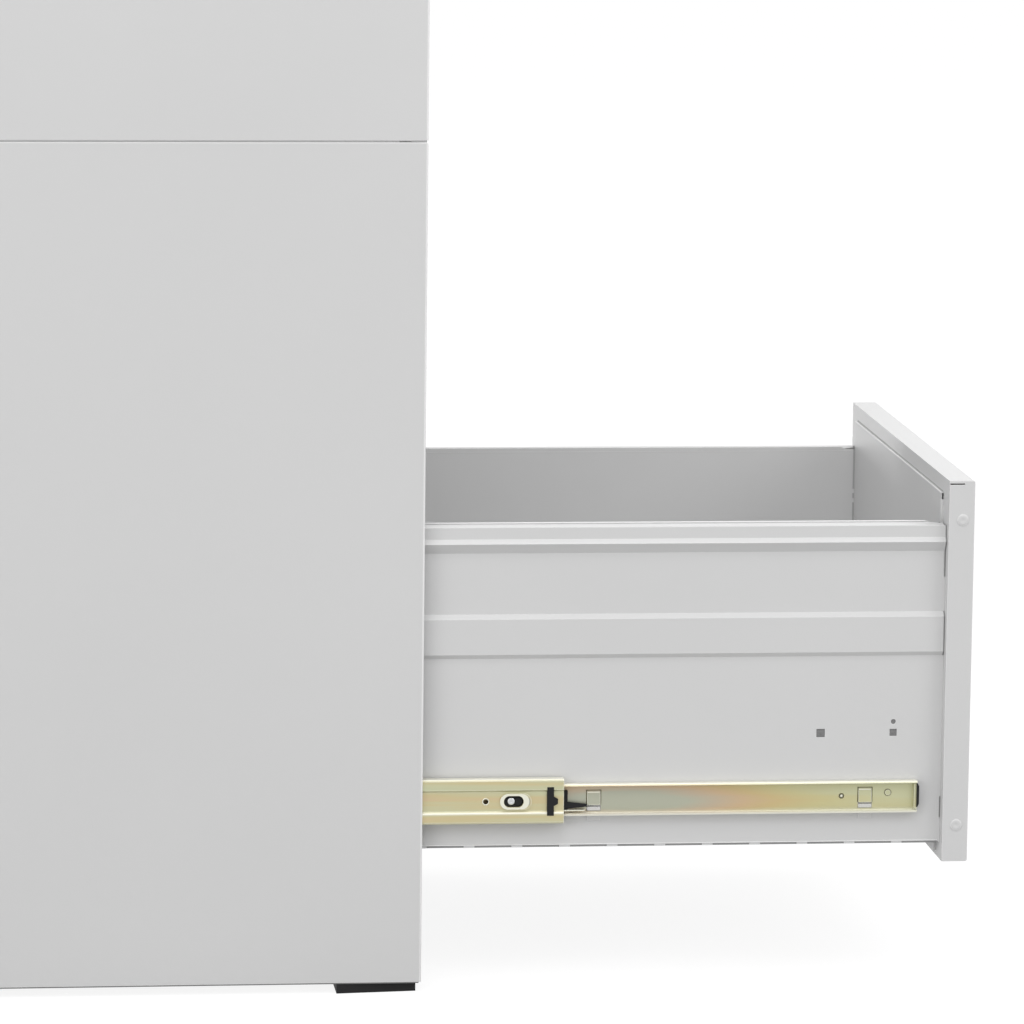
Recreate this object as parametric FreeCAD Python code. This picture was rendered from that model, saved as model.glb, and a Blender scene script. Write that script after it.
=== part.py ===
import FreeCAD, Part
import math
import os

# Four-drawer steel filing cabinet, in millimetres
# X is the width, the front looks along -Y, +Z is up, and the floor is the plane Z = 0.
# The lowest drawer stands open, as far as its rails are drawn out; the other three are closed.
# The origin is the middle of the floor area that the cabinet and its open drawer cover.

Vector = FreeCAD.Vector

# Cabinet body
cabinet_width = 460.0
cabinet_depth = 620.0
sheet = 1.0
side_flange = 14.0
hem_depth = 12.0
foot_height = 8.5
lower_side_height = 650.6
seam_flange = 8.0
seam_chamfer = 1.5
seam_edge = 0.6
plinth_height = 98.0
cap_height = 22.0
cap_edge_radius = 3.0
cross_rail_below = 8.0
cross_rail_above = 7.5
cross_rail_stand = 1.0
pad_length = 61.7
pad_width = 34.0
pad_setback = 2.8
pad_taper = 6.0
pad_corner = 3.0

# Drawers
drawer_count = 4
front_height = 299.5
front_depth = 20.0
front_gap = 3.0
front_side_gap = 1.0
front_edge_radius = 1.5
front_side_lip = 27.0
front_top_lip = 12.5
front_bottom_lip = 6.0
liner_stand = 2.0
liner_overlap = 2.0
liner_relief = 5.0
gap_setback = 12.0
gap_below_top = 2.0
button_radius = 4.8
button_proud = 0.4
button_setback = 10.8
button_low = 29.0
button_high = 30.5
tray_back_gap = 46.2

# Drawer walls, measured from the lower edge of the front
wall_bottom = 12.8
wall_top = 263.9
wall_flange = 17.5
wall_flange_setback = 12.0
bead_out = 2.7
bead_face = 9.2
bead_flare_out = 3.0
bead_flare_drop = 3.4
bead_return_drop = 7.9
rib_below_top = 68.0
rib_slope = 3.5
rib_face = 27.6
rib_out = 3.0
wall_end_gap = 2.0
wall_end_tongue = 27.0
wall_end_slit_low = 20.0
wall_end_slit = 16.8
tab_pitch = 37.2
tab_width = 8.3
tab_drop = 1.6
square_hole = 5.6
big_square_hole = 6.6
round_hole_radius = 2.0
holes_setback = 38.4
holes_apart = 57.0
holes_height = 87.8
back_wall_drop = 14.0
back_wall_flange = 15.0

# Ball-bearing rails, three members deep
rail_thickness = 12.7
rail_steel = 1.2
rail_back_gap = 18.6
rail_setback = 19.6
rail_height_place = 51.0
cabinet_rail_height = 45.0
middle_rail_height = 35.0
drawer_rail_height = 25.0
rail_gap = 0.6
ball_play = 0.1
catch_front_place = 40.2
catch_spacing = 212.6
catch_width = 10.4
catch_drop = 9.4
catch_ledge = 3.0
catch_play = 0.3
lever_pin_radius = 1.2
lever_width = 3.6
lever_head = 3.4
lever_head_up = 7.0
lever_head_down = 7.4
lever_knee = 11.0
lever_reach = 18.4
stop_setback = 13.1
stop_length = 5.2
stop_half = 11.2
stop_nose = 3.2
stop_nose_half = 3.6
slot_setback = 39.0
slot_length = 15.5
slot_height = 9.2
slot_rim = 2.1
slot_rim_shift = 1.7
middle_hole_setback = 60.7
middle_hole_radius = 2.2
drawer_rivet_setback = 22.3
drawer_rivet_radius = 2.4
drawer_hole_setback = 58.7
drawer_hole_radius = 2.0
stage_travel = 278.5
small_steps = 8
cabinet_rail_mouth_gap = 3.5
cabinet_rail_lip = 1.4
cabinet_rail_drop = 3.5
middle_rail_mouth_gap = 2.5
middle_rail_lip = 1.2
middle_rail_drop = 2.1
middle_rail_corner = 1.2
middle_recess = 1.5
middle_band = 7.6
slot_rim_sunk = 0.3
slot_backing = 0.4
ball_end_gap = 5.0
outer_ball_near = 4.2
outer_ball_far = 8.0
inner_ball_near = 6.2
inner_ball_far = 9.2
drawer_rail_mouth = 6.0
drawer_rail_lip = 1.0
drawer_rail_drop = 1.5
drawer_rail_corner = 1.0
tab_high = 6.3
tab_slit = 1.4

# How far the lowest drawer stands open: middle rails from the cabinet, drawer from the middle rails
middle_drawn_out = 150.5
drawer_drawn_out = 277.0

# Moulded handle with its card pocket
handle_width = 150.0
handle_height = 84.0
handle_proud = 1.5
handle_corner = 6.0
handle_border = 6.0
handle_drop = 52.0
handle_wall = 1.8
finger_width = 122.0
finger_opening = 30.0
finger_undercut = 8.0
pull_lip = 4.0
pull_lean = 1.0
cup_floor_radius = 6.0
cup_top_radius = 3.0
card_height = 24.0
card_recess = 1.0

# Lock at the top right of the front, its turning rod and the bar at the back that it lowers
lock_side_gap = 30.0
lock_barrel_radius = 8.0
lock_bezel_radius = 9.5
lock_bezel = 1.4
lock_plug_radius = 6.0
lock_fit = 0.08
lock_rod_radius = 3.0
crank_radius = 8.0
crank_pin_radius = 2.0
crank_steel = 2.0
lock_bar_width = 18.0
lock_bar_steel = 3.0
lock_clearance = 0.5
hook_width = 14.0
hook_reach = 1.0
hook_lift = 1.5
lock_drop = 1.0
lock_bar_gap = 3.0
lock_bar_above_pin = 2.4
barrel_behind = 4.0
plug_behind = 6.0
key_slot_width = 1.6
key_slot_height = 7.2
key_slot_depth = 4.0

# Back panels and the screws that hold them
back_rib_depth = 4.0
back_rib_width = 28.0
back_rib_spacing = 96.0
screw_head = 1.8
screw_radius = 4.0
screws_per_side = 2

# Sizes that follow
half_width = cabinet_width / 2
lock_side_place = half_width - lock_side_gap
drawn_out = middle_drawn_out + drawer_drawn_out
front_y = (drawn_out + handle_proud - cabinet_depth) / 2
back_face_y = front_y + cabinet_depth - screw_head
side_back_y = back_face_y - sheet
side_inner_x = half_width - sheet
front_half = side_inner_x - sheet - front_side_gap
pitch = front_height + front_gap
cap_bottom = plinth_height + drawer_count * pitch
cabinet_height = cap_bottom + cap_height
front_inner_y = front_y + front_depth
liner_face_y = front_inner_y + liner_stand
tray_back_y = side_back_y - tray_back_gap
wall_outer_x = side_inner_x - rail_thickness
wall_inner_x = wall_outer_x - sheet
skin_face_x = wall_outer_x + bead_out - wall_flange
window_half = front_half - front_side_lip
liner_half = window_half + liner_overlap
rail_front_y = front_inner_y + rail_setback
rail_back_y = side_back_y - sheet - rail_back_gap
rail_length = rail_back_y - rail_front_y
middle_web = rail_steel + rail_gap
drawer_web = rail_thickness - rail_steel
seam = foot_height + lower_side_height
back_wall_top = wall_top - back_wall_drop
rib_top = wall_top - rib_below_top
rib_bottom = rib_top - 2 * rib_slope - rib_face
catch_places = (rail_front_y + catch_front_place, rail_front_y + catch_front_place + catch_spacing)
crank_side = crank_radius * math.cos(math.pi / 4)
lock_z = cap_bottom + cap_height / 2 - lock_drop
lock_bar_y = side_back_y - lock_bar_gap
bar_middle_x = lock_side_place - crank_radius
crank_y = lock_bar_y - lock_bar_steel - 2 * lock_clearance - crank_steel
lift = 2 * crank_side


# Helpers: flat outlines, bent sheets and placed copies
def unit(start, stop):
    """Direction from one 2-D point to another, as a pair."""
    length = math.hypot(stop[0] - start[0], stop[1] - start[1])
    return ((stop[0] - start[0]) / length, (stop[1] - start[1]) / length)


def moved_left(path, distance):
    """The path moved to its left, with mitred corners."""
    moved = []
    for i, point in enumerate(path):
        normals = []
        if i > 0:
            along = unit(path[i - 1], point)
            normals.append((-along[1], along[0]))
        if i < len(path) - 1:
            along = unit(point, path[i + 1])
            normals.append((-along[1], along[0]))
        first, second = normals[0], normals[-1]
        stretch = distance / (1 + first[0] * second[0] + first[1] * second[1])
        shift = (stretch * (first[0] + second[0]), stretch * (first[1] + second[1]))
        moved.append((point[0] + shift[0], point[1] + shift[1]))
    return moved


def rounded_wire(points, radii):
    """Closed wire in the XY plane, with a tangent arc at each corner that has a radius."""
    corners = [Vector(p[0], p[1], 0) for p in points]
    ends = []
    for i, corner in enumerate(corners):
        if not radii[i]:
            ends.append((corner, None, corner))
            continue
        back = (corners[i - 1] - corner).normalize()
        ahead = (corners[(i + 1) % len(corners)] - corner).normalize()
        half = back.getAngle(ahead) / 2
        middle = (back + ahead).normalize()
        reach = radii[i] / math.tan(half)
        on_arc = corner + middle * (radii[i] / math.sin(half) - radii[i])
        ends.append((corner + back * reach, on_arc, corner + ahead * reach))
    edges = []
    for i, (start, on_arc, stop) in enumerate(ends):
        if on_arc is not None:
            edges.append(Part.Arc(start, on_arc, stop).toShape())
        following = ends[(i + 1) % len(ends)][0]
        if stop.distanceToPoint(following) > 1e-6:
            edges.append(Part.LineSegment(stop, following).toShape())
    return Part.Wire(edges)


def prism(points, axis, start, length, radii=None):
    """Outline pushed along an axis: (y, z) along X, (x, z) along Y, (x, y) along Z."""
    if isinstance(radii, (int, float)):
        radii = [radii] * len(points)
    face = Part.Face(rounded_wire(points, radii or [0] * len(points)))
    solid = face.extrude(Vector(0, 0, length))
    frames = {
        "X": FreeCAD.Rotation(Vector(0, 1, 0), Vector(0, 0, 1), Vector(1, 0, 0), "ZXY"),
        "Y": FreeCAD.Rotation(Vector(1, 0, 0), Vector(0, 0, 1), Vector(0, -1, 0), "ZXY"),
        "Z": FreeCAD.Rotation(),
    }
    origins = {"X": Vector(start, 0, 0), "Y": Vector(0, start + length, 0), "Z": Vector(0, 0, start)}
    solid.Placement = FreeCAD.Placement(origins[axis], frames[axis])
    return solid


def block(x0, x1, y0, y1, z0, z1):
    """Plain block between limits."""
    return Part.makeBox(x1 - x0, y1 - y0, z1 - z0, Vector(x0, y0, z0))


def bent_sheet(path, thickness, axis, start, length):
    """Sheet folded along a path, with its thickness on the path's left."""
    return prism(path + moved_left(path, thickness)[::-1], axis, start, length)


def mirrored(shape):
    """The same piece for the other side of the cabinet."""
    return shape.mirror(Vector(0, 0, 0), Vector(1, 0, 0))


def both_sides(shape):
    return [shape, mirrored(shape)]


def cylinder(radius, length, centre, direction=Vector(0, 1, 0)):
    return Part.makeCylinder(radius, length, centre, direction)


def small_round(middle, radius, axis, start, length, stretch=0.0, steps=12):
    """Small round or oval detail with few sides, stretched along the outline's first direction."""
    points = []
    for i in range(steps):
        angle = 2 * math.pi * (i + 0.5) / steps
        shift = math.copysign(stretch / 2, math.cos(angle))
        points.append((middle[0] + shift + radius * math.cos(angle), middle[1] + radius * math.sin(angle)))
    return prism(points, axis, start, length)


def save(name, shapes):
    """One file for one sub-part, from one solid or several like ones."""
    solids = []
    for shape in shapes:
        solids.extend(shape.Solids)
    shape = solids[0] if len(solids) == 1 else Part.makeCompound(solids)
    shape.exportStep(f"parts/{name}.step")


# Cabinet body
def side_panel(outline, bottom, top):
    """Left side: folded as its outline runs, with a hemmed front edge and a flange at the back."""
    hem = front_y + hem_depth
    skin = bent_sheet(outline, sheet, "Y", hem, side_back_y - hem)
    low = seam - 2 * sheet
    high = seam + seam_chamfer + sheet
    skin = skin.cut(block(-side_inner_x, 0, front_y, front_inner_y + sheet, low, high))
    nose = [
        (-half_width, front_y),
        (-half_width + 2 * sheet, front_y),
        (-half_width + 2 * sheet, hem),
        (-half_width, hem),
    ]
    front_edge = prism(nose, "Z", bottom, top - bottom, [0.9 * sheet, 0.9 * sheet, 0, 0])
    flange_x = -half_width + side_flange
    flange = block(-half_width, flange_x, side_back_y - sheet, side_back_y, bottom + sheet, top - sheet)
    return skin.fuse([front_edge, flange]).removeSplitter()


def lower_side():
    """Lower left side, with a narrow flange at the seam that clears the drawer."""
    outer = -half_width
    outline = [
        (outer + seam_flange, seam),
        (outer + seam_edge, seam),
        (outer, seam - seam_edge),
        (outer, foot_height),
        (outer + side_flange, foot_height),
    ]
    return side_panel(outline, foot_height, seam - seam_edge)


def upper_side():
    """Upper left side, whose slanted lower edge stands on the lower side."""
    outer = -half_width
    outline = [
        (outer + side_flange, cap_bottom),
        (outer, cap_bottom),
        (outer, seam + seam_chamfer),
        (outer + seam_chamfer, seam),
        (outer + seam_flange, seam),
    ]
    return side_panel(outline, seam + seam_chamfer, cap_bottom)


def top_panel():
    """Cap with turned-down edges, a lip all round under them and a bearing for the lock's rod."""
    outline = [
        (-half_width, cap_bottom),
        (half_width, cap_bottom),
        (half_width, cabinet_height),
        (-half_width, cabinet_height),
    ]
    radii = [0, 0, cap_edge_radius, cap_edge_radius]
    outer = prism(outline, "Y", front_y, back_face_y - front_y, radii)
    inside = half_width - sheet
    ceiling = cabinet_height - sheet
    room = block(-inside, inside, front_y + sheet, back_face_y - sheet, cap_bottom + sheet, ceiling)
    lip = half_width - side_flange
    lip_front = front_y + side_flange
    mouth = block(-lip, lip, lip_front, back_face_y - side_flange, cap_bottom, cap_bottom + sheet)
    bearing_y = lock_bar_y - 5 * lock_bar_steel
    bearing = block(
        lock_side_place - 2 * lock_rod_radius,
        lock_side_place + 2 * lock_rod_radius,
        bearing_y - 2 * sheet,
        bearing_y,
        lock_z - 2 * lock_rod_radius,
        ceiling,
    )
    barrel = lock_barrel(front_y - sheet, 3 * sheet)
    bar_half = lock_bar_width / 2 + lock_clearance
    bar_way = block(
        bar_middle_x - bar_half,
        bar_middle_x + bar_half,
        crank_y - lock_clearance,
        lock_bar_y + lock_clearance,
        cap_bottom - sheet,
        cap_bottom + 2 * sheet,
    )
    rod_hole_radius = lock_rod_radius + lock_clearance
    rod_hole = small_round((lock_side_place, lock_z), rod_hole_radius, "Y", bearing_y - 3 * sheet, 4 * sheet)
    return outer.cut([room, mouth, barrel, bar_way]).fuse(bearing).cut(rod_hole)


def base_pan():
    """Kick plate, floor and rear upstand folded from one sheet between the sides."""
    kick_top = plinth_height - front_gap
    floor_z = foot_height + sheet
    upstand_y = back_face_y - back_rib_depth - sheet
    path = [
        (front_inner_y, kick_top),
        (front_y, kick_top),
        (front_y, floor_z),
        (upstand_y, floor_z),
        (upstand_y, floor_z + front_depth),
    ]
    half = side_inner_x - sheet
    return bent_sheet(path, sheet, "X", -half, 2 * half)


def cross_rail(level):
    """Channel between the sides, behind the gap of two fronts."""
    low = level - cross_rail_below
    high = level + cross_rail_above
    y = liner_face_y + cross_rail_stand
    path = [(y + front_depth, high), (y, high), (y, low), (y + front_depth, low)]
    return bent_sheet(path, sheet, "X", -side_inner_x, 2 * side_inner_x)


def bar_guide(level):
    """Bridge pressed out of the back panel, in which the lock bar slides."""
    half = lock_bar_width / 2 + lock_clearance
    front = lock_bar_y - lock_bar_steel - lock_clearance
    path = [
        (bar_middle_x + half, side_back_y),
        (bar_middle_x + half, front),
        (bar_middle_x - half, front),
        (bar_middle_x - half, side_back_y),
    ]
    return bent_sheet(path, sheet, "Z", level, front_depth)


def back_panel(bottom, top, guide_levels):
    """Sheet with pressed ribs standing inwards, outside the back flanges of the sides."""
    half = back_rib_width / 2
    slant = back_rib_depth
    path = [(side_inner_x, back_face_y)]
    for step in (0, 1, 2):
        middle = back_rib_spacing * (0.5 - step)
        path.append((middle + half, back_face_y))
        path.append((middle + half - slant, back_face_y - back_rib_depth))
        path.append((middle - half + slant, back_face_y - back_rib_depth))
        path.append((middle - half, back_face_y))
    path.append((-side_inner_x, back_face_y))
    panel = bent_sheet(path, sheet, "Z", bottom, top - bottom)
    return panel.fuse([bar_guide(level) for level in guide_levels])


def foot_pad():
    """Front left pad, narrowing towards the front corner."""
    outer = -half_width + sheet / 2
    inner = outer + pad_width
    front = front_y + pad_setback
    outline = [
        (outer, front + pad_length),
        (outer + pad_taper, front),
        (inner - pad_corner, front),
        (inner, front + pad_corner),
        (inner, front + pad_length),
    ]
    return prism(outline, "Z", 0.0, foot_height)


def foot_pads():
    """Four pads under the corners of the sides."""
    front_left = foot_pad()
    middle_y = (front_y + side_back_y) / 2
    back_left = front_left.mirror(Vector(0, middle_y, 0), Vector(0, 1, 0))
    return both_sides(front_left) + both_sides(back_left)


def panel_screws(levels):
    """Hexagon heads on the back panels, over the flanges of the sides."""
    heads = []
    place_x = half_width - side_flange / 2 - sheet
    for level in levels:
        head = small_round((-place_x, level), screw_radius, "Y", back_face_y, screw_head, steps=6)
        heads += both_sides(head)
    return heads


# Rails, drawn for the left side: s runs from the cabinet side inwards, h up from the rail's axis
def rail_point(s, h):
    return (-side_inner_x + s, rail_height_place + h)


def rail_section(points, front, length):
    """Rail of one folded strip, from the section of its outside."""
    path = [rail_point(s, h) for s, h in points]
    return bent_sheet(path, rail_steel, "Y", front, length)


def cabinet_rail():
    """Outermost member: a channel open to the drawer, whose lips hold the balls."""
    half = cabinet_rail_height / 2
    mouth = rail_thickness - cabinet_rail_mouth_gap
    upper = [(mouth + cabinet_rail_lip, half - cabinet_rail_drop), (mouth, half), (0, half)]
    lower = [(s, -h) for s, h in reversed(upper)]
    return rail_section(upper + lower, rail_front_y, rail_length)


def stop_bumper(depth_from, depth_to):
    """Black bar across the middle rail, with a nose towards its front end."""
    back = rail_front_y + stop_setback
    front = back - stop_length
    nose_y = front - stop_nose
    outline = [
        (back, -stop_half),
        (back, stop_half),
        (front, stop_half),
        (front, stop_nose_half),
        (nose_y, stop_nose_half / 2),
        (nose_y, -stop_nose_half / 2),
        (front, -stop_nose_half),
        (front, -stop_half),
    ]
    points = [(y, rail_height_place + h) for y, h in outline]
    return prism(points, "X", -side_inner_x + depth_from, depth_to - depth_from)


def middle_rail():
    """Middle member: a channel with a sunken band along its web, and its four strips of balls."""
    half = middle_rail_height / 2
    mouth = rail_thickness - middle_rail_mouth_gap
    corner = middle_rail_corner
    upper = [
        (mouth + middle_rail_lip, half - middle_rail_drop),
        (mouth, half),
        (middle_web + corner, half),
        (middle_web, half - corner),
        (middle_web, middle_band + middle_recess),
        (middle_web + middle_recess, middle_band),
    ]
    lower = [(s, -h) for s, h in reversed(upper)]
    rail = rail_section(upper + lower, rail_front_y, rail_length)
    slot_y = rail_front_y + slot_setback
    hole_y = rail_front_y + middle_hole_setback
    rim = slot_rim
    axis_z = rail_height_place
    band_x = -side_inner_x + middle_web + middle_recess
    behind = band_x + rail_steel
    stretch = slot_length - slot_height
    slot = small_round((slot_y, axis_z), slot_height / 2, "X", -side_inner_x, rail_thickness, stretch)
    rim_plate = small_round(
        (slot_y - slot_rim_shift, axis_z),
        slot_height / 2 + rim,
        "X",
        band_x - middle_recess + slot_rim_sunk,
        middle_recess,
        stretch + 2.4 * rim,
    )
    backing = block(
        behind,
        behind + slot_backing,
        slot_y - slot_length / 2 - rim,
        slot_y + slot_length / 2 + rim,
        axis_z - slot_height / 2 - slot_backing,
        axis_z + slot_height / 2 + slot_backing,
    )
    hole = small_round(
        (hole_y, axis_z), middle_hole_radius, "X", -side_inner_x, rail_thickness / 2, steps=small_steps
    )
    rail = rail.fuse(rim_plate).cut([slot, hole, stop_bumper(0.0, rail_thickness / 2)])
    return [rail.fuse(backing)] + ball_strips()


def ball_strips():
    """Balls in their cages, as plain strips: two against the cabinet rail, two against the drawer rail."""
    strip_length = rail_length - stage_travel - 2 * ball_end_gap
    outer_low = middle_rail_height / 2
    outer_high = cabinet_rail_height / 2 - rail_steel - ball_play
    inner_low = drawer_rail_height / 2 + ball_play
    inner_high = middle_rail_height / 2 - rail_steel
    outer_y = rail_back_y - strip_length - ball_end_gap
    inner_y = rail_front_y + ball_end_gap
    spans = [
        (outer_y, outer_ball_near, outer_ball_far, outer_low, outer_high),
        (inner_y, inner_ball_near, inner_ball_far, inner_low, inner_high),
    ]
    strips = []
    for y, near, far, low, high in spans:
        for bottom, top in ((low, high), (-high, -low)):
            x0, z0 = rail_point(near, bottom)
            x1, z1 = rail_point(far, top)
            strips.append(block(x0, x1, y, y + strip_length, z0, z1))
    return strips


def drawer_rail():
    """Innermost member: a channel open to the cabinet side, with two tabs pressed out of its web."""
    half = drawer_rail_height / 2
    mouth = drawer_rail_mouth
    upper = [
        (mouth - drawer_rail_lip, half - drawer_rail_drop),
        (mouth, half),
        (rail_thickness - drawer_rail_corner, half),
        (rail_thickness, half - drawer_rail_corner),
    ]
    path = [rail_point(s, h) for s, h in upper + [(s, -h) for s, h in reversed(upper)]]
    rail = bent_sheet(path, -rail_steel, "Y", rail_front_y, rail_length)
    half_catch = catch_width / 2
    for place in catch_places:
        window = block(
            -side_inner_x + drawer_web - rail_steel,
            -wall_outer_x,
            place - half_catch - catch_play,
            place + half_catch + catch_play,
            rail_height_place - catch_drop - catch_play,
            rail_height_place + tab_high,
        )
        tab_low = catch_ledge + tab_slit - catch_drop
        tab = [
            rail_point(drawer_web - rail_steel, tab_low),
            rail_point(drawer_web, tab_low),
            rail_point(rail_thickness, tab_high),
            rail_point(rail_thickness - rail_steel, tab_high),
        ]
        rail = rail.cut(window).fuse(prism(tab, "Y", place - half_catch, catch_width))
    web_x = -side_inner_x + drawer_web
    rivet_place = (rail_front_y + drawer_rivet_setback, rail_height_place + drawer_rivet_radius)
    hole_place = (rail_front_y + drawer_hole_setback, rail_height_place)
    rivet_x = web_x - rail_steel / 2
    rivet = small_round(rivet_place, drawer_rivet_radius, "X", rivet_x, rail_steel, steps=small_steps)
    hole_x = web_x - rail_steel
    hole = small_round(hole_place, drawer_hole_radius, "X", hole_x, 3 * rail_steel, steps=small_steps)
    rail = rail.cut(hole)
    end_stop = block(
        -side_inner_x + mouth + drawer_rail_lip,
        -side_inner_x + drawer_web,
        rail_front_y,
        rail_front_y + 2 * rail_steel,
        rail_height_place - half + 2 * rail_steel,
        rail_height_place + half - 2 * rail_steel,
    )
    return rail.fuse([rivet, end_stop])


def release_lever():
    """Black lever on the drawer rail: its head stands against the end of the drawn-out middle rail."""
    head_y = rail_front_y + drawer_drawn_out - ball_play
    head_middle_y = head_y - lever_head / 2
    far = -side_inner_x + drawer_web
    near = far - lever_width
    z = rail_height_place
    low = z - lever_head_down
    high = z + lever_head_up
    head_points = [(head_y, low), (head_y, high), (head_y - lever_head, high), (head_y - lever_head, low)]
    arm_points = [
        (head_middle_y, low + lever_head / 16),
        (head_middle_y, z - lever_head_down / 4),
        (head_y - lever_reach, z - lever_head_down / 2),
        (head_y - lever_reach, z - 0.76 * lever_head_down),
        (head_y - lever_knee, z - 0.85 * lever_head_down),
    ]
    body = prism(head_points, "X", near, far - near)
    arm = prism(arm_points, "X", near, (far - near) * 0.6)
    pin_start = Vector(near - lever_pin_radius / 3, head_middle_y, z)
    pin = cylinder(lever_pin_radius, far - pin_start.x, pin_start, Vector(1, 0, 0))
    return body.fuse([arm, pin]).removeSplitter()


# Drawer pieces, drawn closed, with the lower edge of the front at Z = 0
def handle_frame():
    """Middle height of the handle and half its width and height."""
    return front_height - handle_drop - handle_height / 2, handle_width / 2, handle_height / 2


def rectangle(half_x, low, high):
    return [(-half_x, low), (half_x, low), (half_x, high), (-half_x, high)]


def front_button(side, height):
    """Round stud on one end of the front."""
    middle = (front_inner_y - button_setback, height)
    stud = small_round(middle, button_radius, "X", front_half - sheet, sheet + button_proud)
    return stud if side > 0 else mirrored(stud)


def drawer_front():
    """Pan of one sheet: face, four returns and a lip behind, open in the middle for the liner."""
    outline = rectangle(front_half, 0.0, front_height)
    outer = prism(outline, "Y", front_y, front_depth)
    edges = [e for e in outer.Edges if abs(e.BoundBox.YMax - front_y) < 1e-6 and e.BoundBox.XLength > 1.0]
    outer = outer.makeFillet(front_edge_radius, edges)
    inside = front_half - sheet
    room = block(-inside, inside, front_y + sheet, front_inner_y - sheet, sheet, front_height - sheet)
    window = block(
        -window_half,
        window_half,
        front_inner_y - sheet,
        front_inner_y,
        front_bottom_lip,
        front_height - front_top_lip - liner_overlap,
    )
    middle, half_x, half_z = handle_frame()
    mouth = prism(
        rectangle(half_x - handle_border, middle - half_z + handle_border, middle + half_z - handle_border),
        "Y",
        front_y - sheet,
        3 * sheet,
    )
    gap_top = front_height - gap_below_top
    cuts = [room, window, mouth]
    studs = []
    for side in (-1, 1):
        gap = block(-sheet, sheet, front_inner_y - gap_setback, front_inner_y, gap_top - sheet, gap_top)
        cuts.append(gap.translated(Vector(side * front_half, 0, 0)))
        studs.append(front_button(side, button_low))
        studs.append(front_button(side, front_height - button_high))
    return outer.cut(cuts).fuse(studs)


def front_liner():
    """Shallow tray that closes the front from behind, edge to edge with its lips."""
    top = front_height - front_top_lip
    low = front_bottom_lip - liner_overlap
    outer = block(-liner_half, liner_half, front_inner_y, liner_face_y, low, top)
    inside = liner_half - sheet
    room = block(-inside, inside, front_inner_y, liner_face_y - sheet, low + sheet, top - sheet)
    relief_top = top - sheet / 2
    relief_back = liner_face_y - sheet / 2
    relief = block(-sheet, sheet, front_inner_y, relief_back, relief_top - liner_relief, relief_top)
    cuts = [room] + [relief.translated(Vector(side * liner_half, 0, 0)) for side in (-1, 1)]
    return outer.cut(cuts)


def drawer_handle():
    """Moulded cup with an undercut for the fingers under a pocket for a card."""
    middle, half_x, half_z = handle_frame()
    outline = rectangle(half_x, middle - half_z, middle + half_z)
    bezel = prism(outline, "Y", front_y - handle_proud, handle_proud, handle_corner)
    body_half = half_x - handle_border
    cup_back = front_inner_y - 2 * sheet
    cup_top = middle + finger_undercut
    body = block(
        -body_half, body_half, front_y, cup_back, middle - half_z + handle_border, cup_top + 2 * handle_wall
    )
    floor_z = middle - half_z + handle_border + handle_wall
    inner_back = cup_back - handle_wall
    opening_top = floor_z + finger_opening
    cup = [
        (front_y - 2 * handle_proud, floor_z),
        (inner_back, floor_z),
        (inner_back, cup_top),
        (front_y + pull_lip, cup_top),
        (front_y + pull_lip - pull_lean, opening_top),
        (front_y - 2 * handle_proud, opening_top),
    ]
    cup_radii = [0, cup_floor_radius, cup_top_radius, 0, 0, 0]
    finger = prism(cup, "X", -finger_width / 2, finger_width, cup_radii)
    card_low = middle + half_z - handle_border - card_height
    card = block(
        -finger_width / 2,
        finger_width / 2,
        front_y - handle_proud,
        front_y - handle_proud + card_recess,
        card_low,
        card_low + card_height,
    )
    plate = block(
        -body_half, body_half, front_y, front_y + handle_wall, cup_top, middle + half_z - handle_border
    )
    return bezel.fuse([body, plate]).cut([finger, card]).removeSplitter()


def wall_section():
    """Left wall from the foot of its inner skin over the top flange and down the outside, as (x, z)."""
    face = -wall_outer_x
    bead_low = wall_top - bead_face - bead_flare_drop
    return [
        (-skin_face_x, wall_bottom + sheet),
        (-skin_face_x, wall_top),
        (face - bead_out, wall_top),
        (face - bead_out, wall_top - bead_face),
        (face - bead_out - bead_flare_out, bead_low),
        (face, bead_low - bead_return_drop),
        (face, rib_top),
        (face - rib_out, rib_top - rib_slope),
        (face - rib_out, rib_top - rib_slope - rib_face),
        (face, rib_bottom),
        (face, wall_bottom),
    ]


def wall_tongue(low, high):
    """Stretch of the wall's front end that reaches the front; dark slits lie between them."""
    return block(-wall_outer_x, -wall_inner_x, front_inner_y, front_inner_y + wall_end_gap, low, high)


def wall_catch(place_y):
    """Hook pressed out of the wall, through the window of the rail and on below it."""
    face = -wall_outer_x
    back = place_y - catch_width / 2
    front = place_y + catch_width / 2
    low = rail_height_place - drawer_rail_height / 2
    foot_proud = 0.9
    foot_drop = 5.0
    foot_gap = 0.4
    foot = block(face - foot_proud, face, back, front, low - foot_drop, low - foot_gap)
    hook_z = rail_height_place - catch_drop
    hook = block(face - rail_steel - foot_gap, face, back, front, hook_z, hook_z + catch_ledge)
    return [foot, hook]


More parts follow.
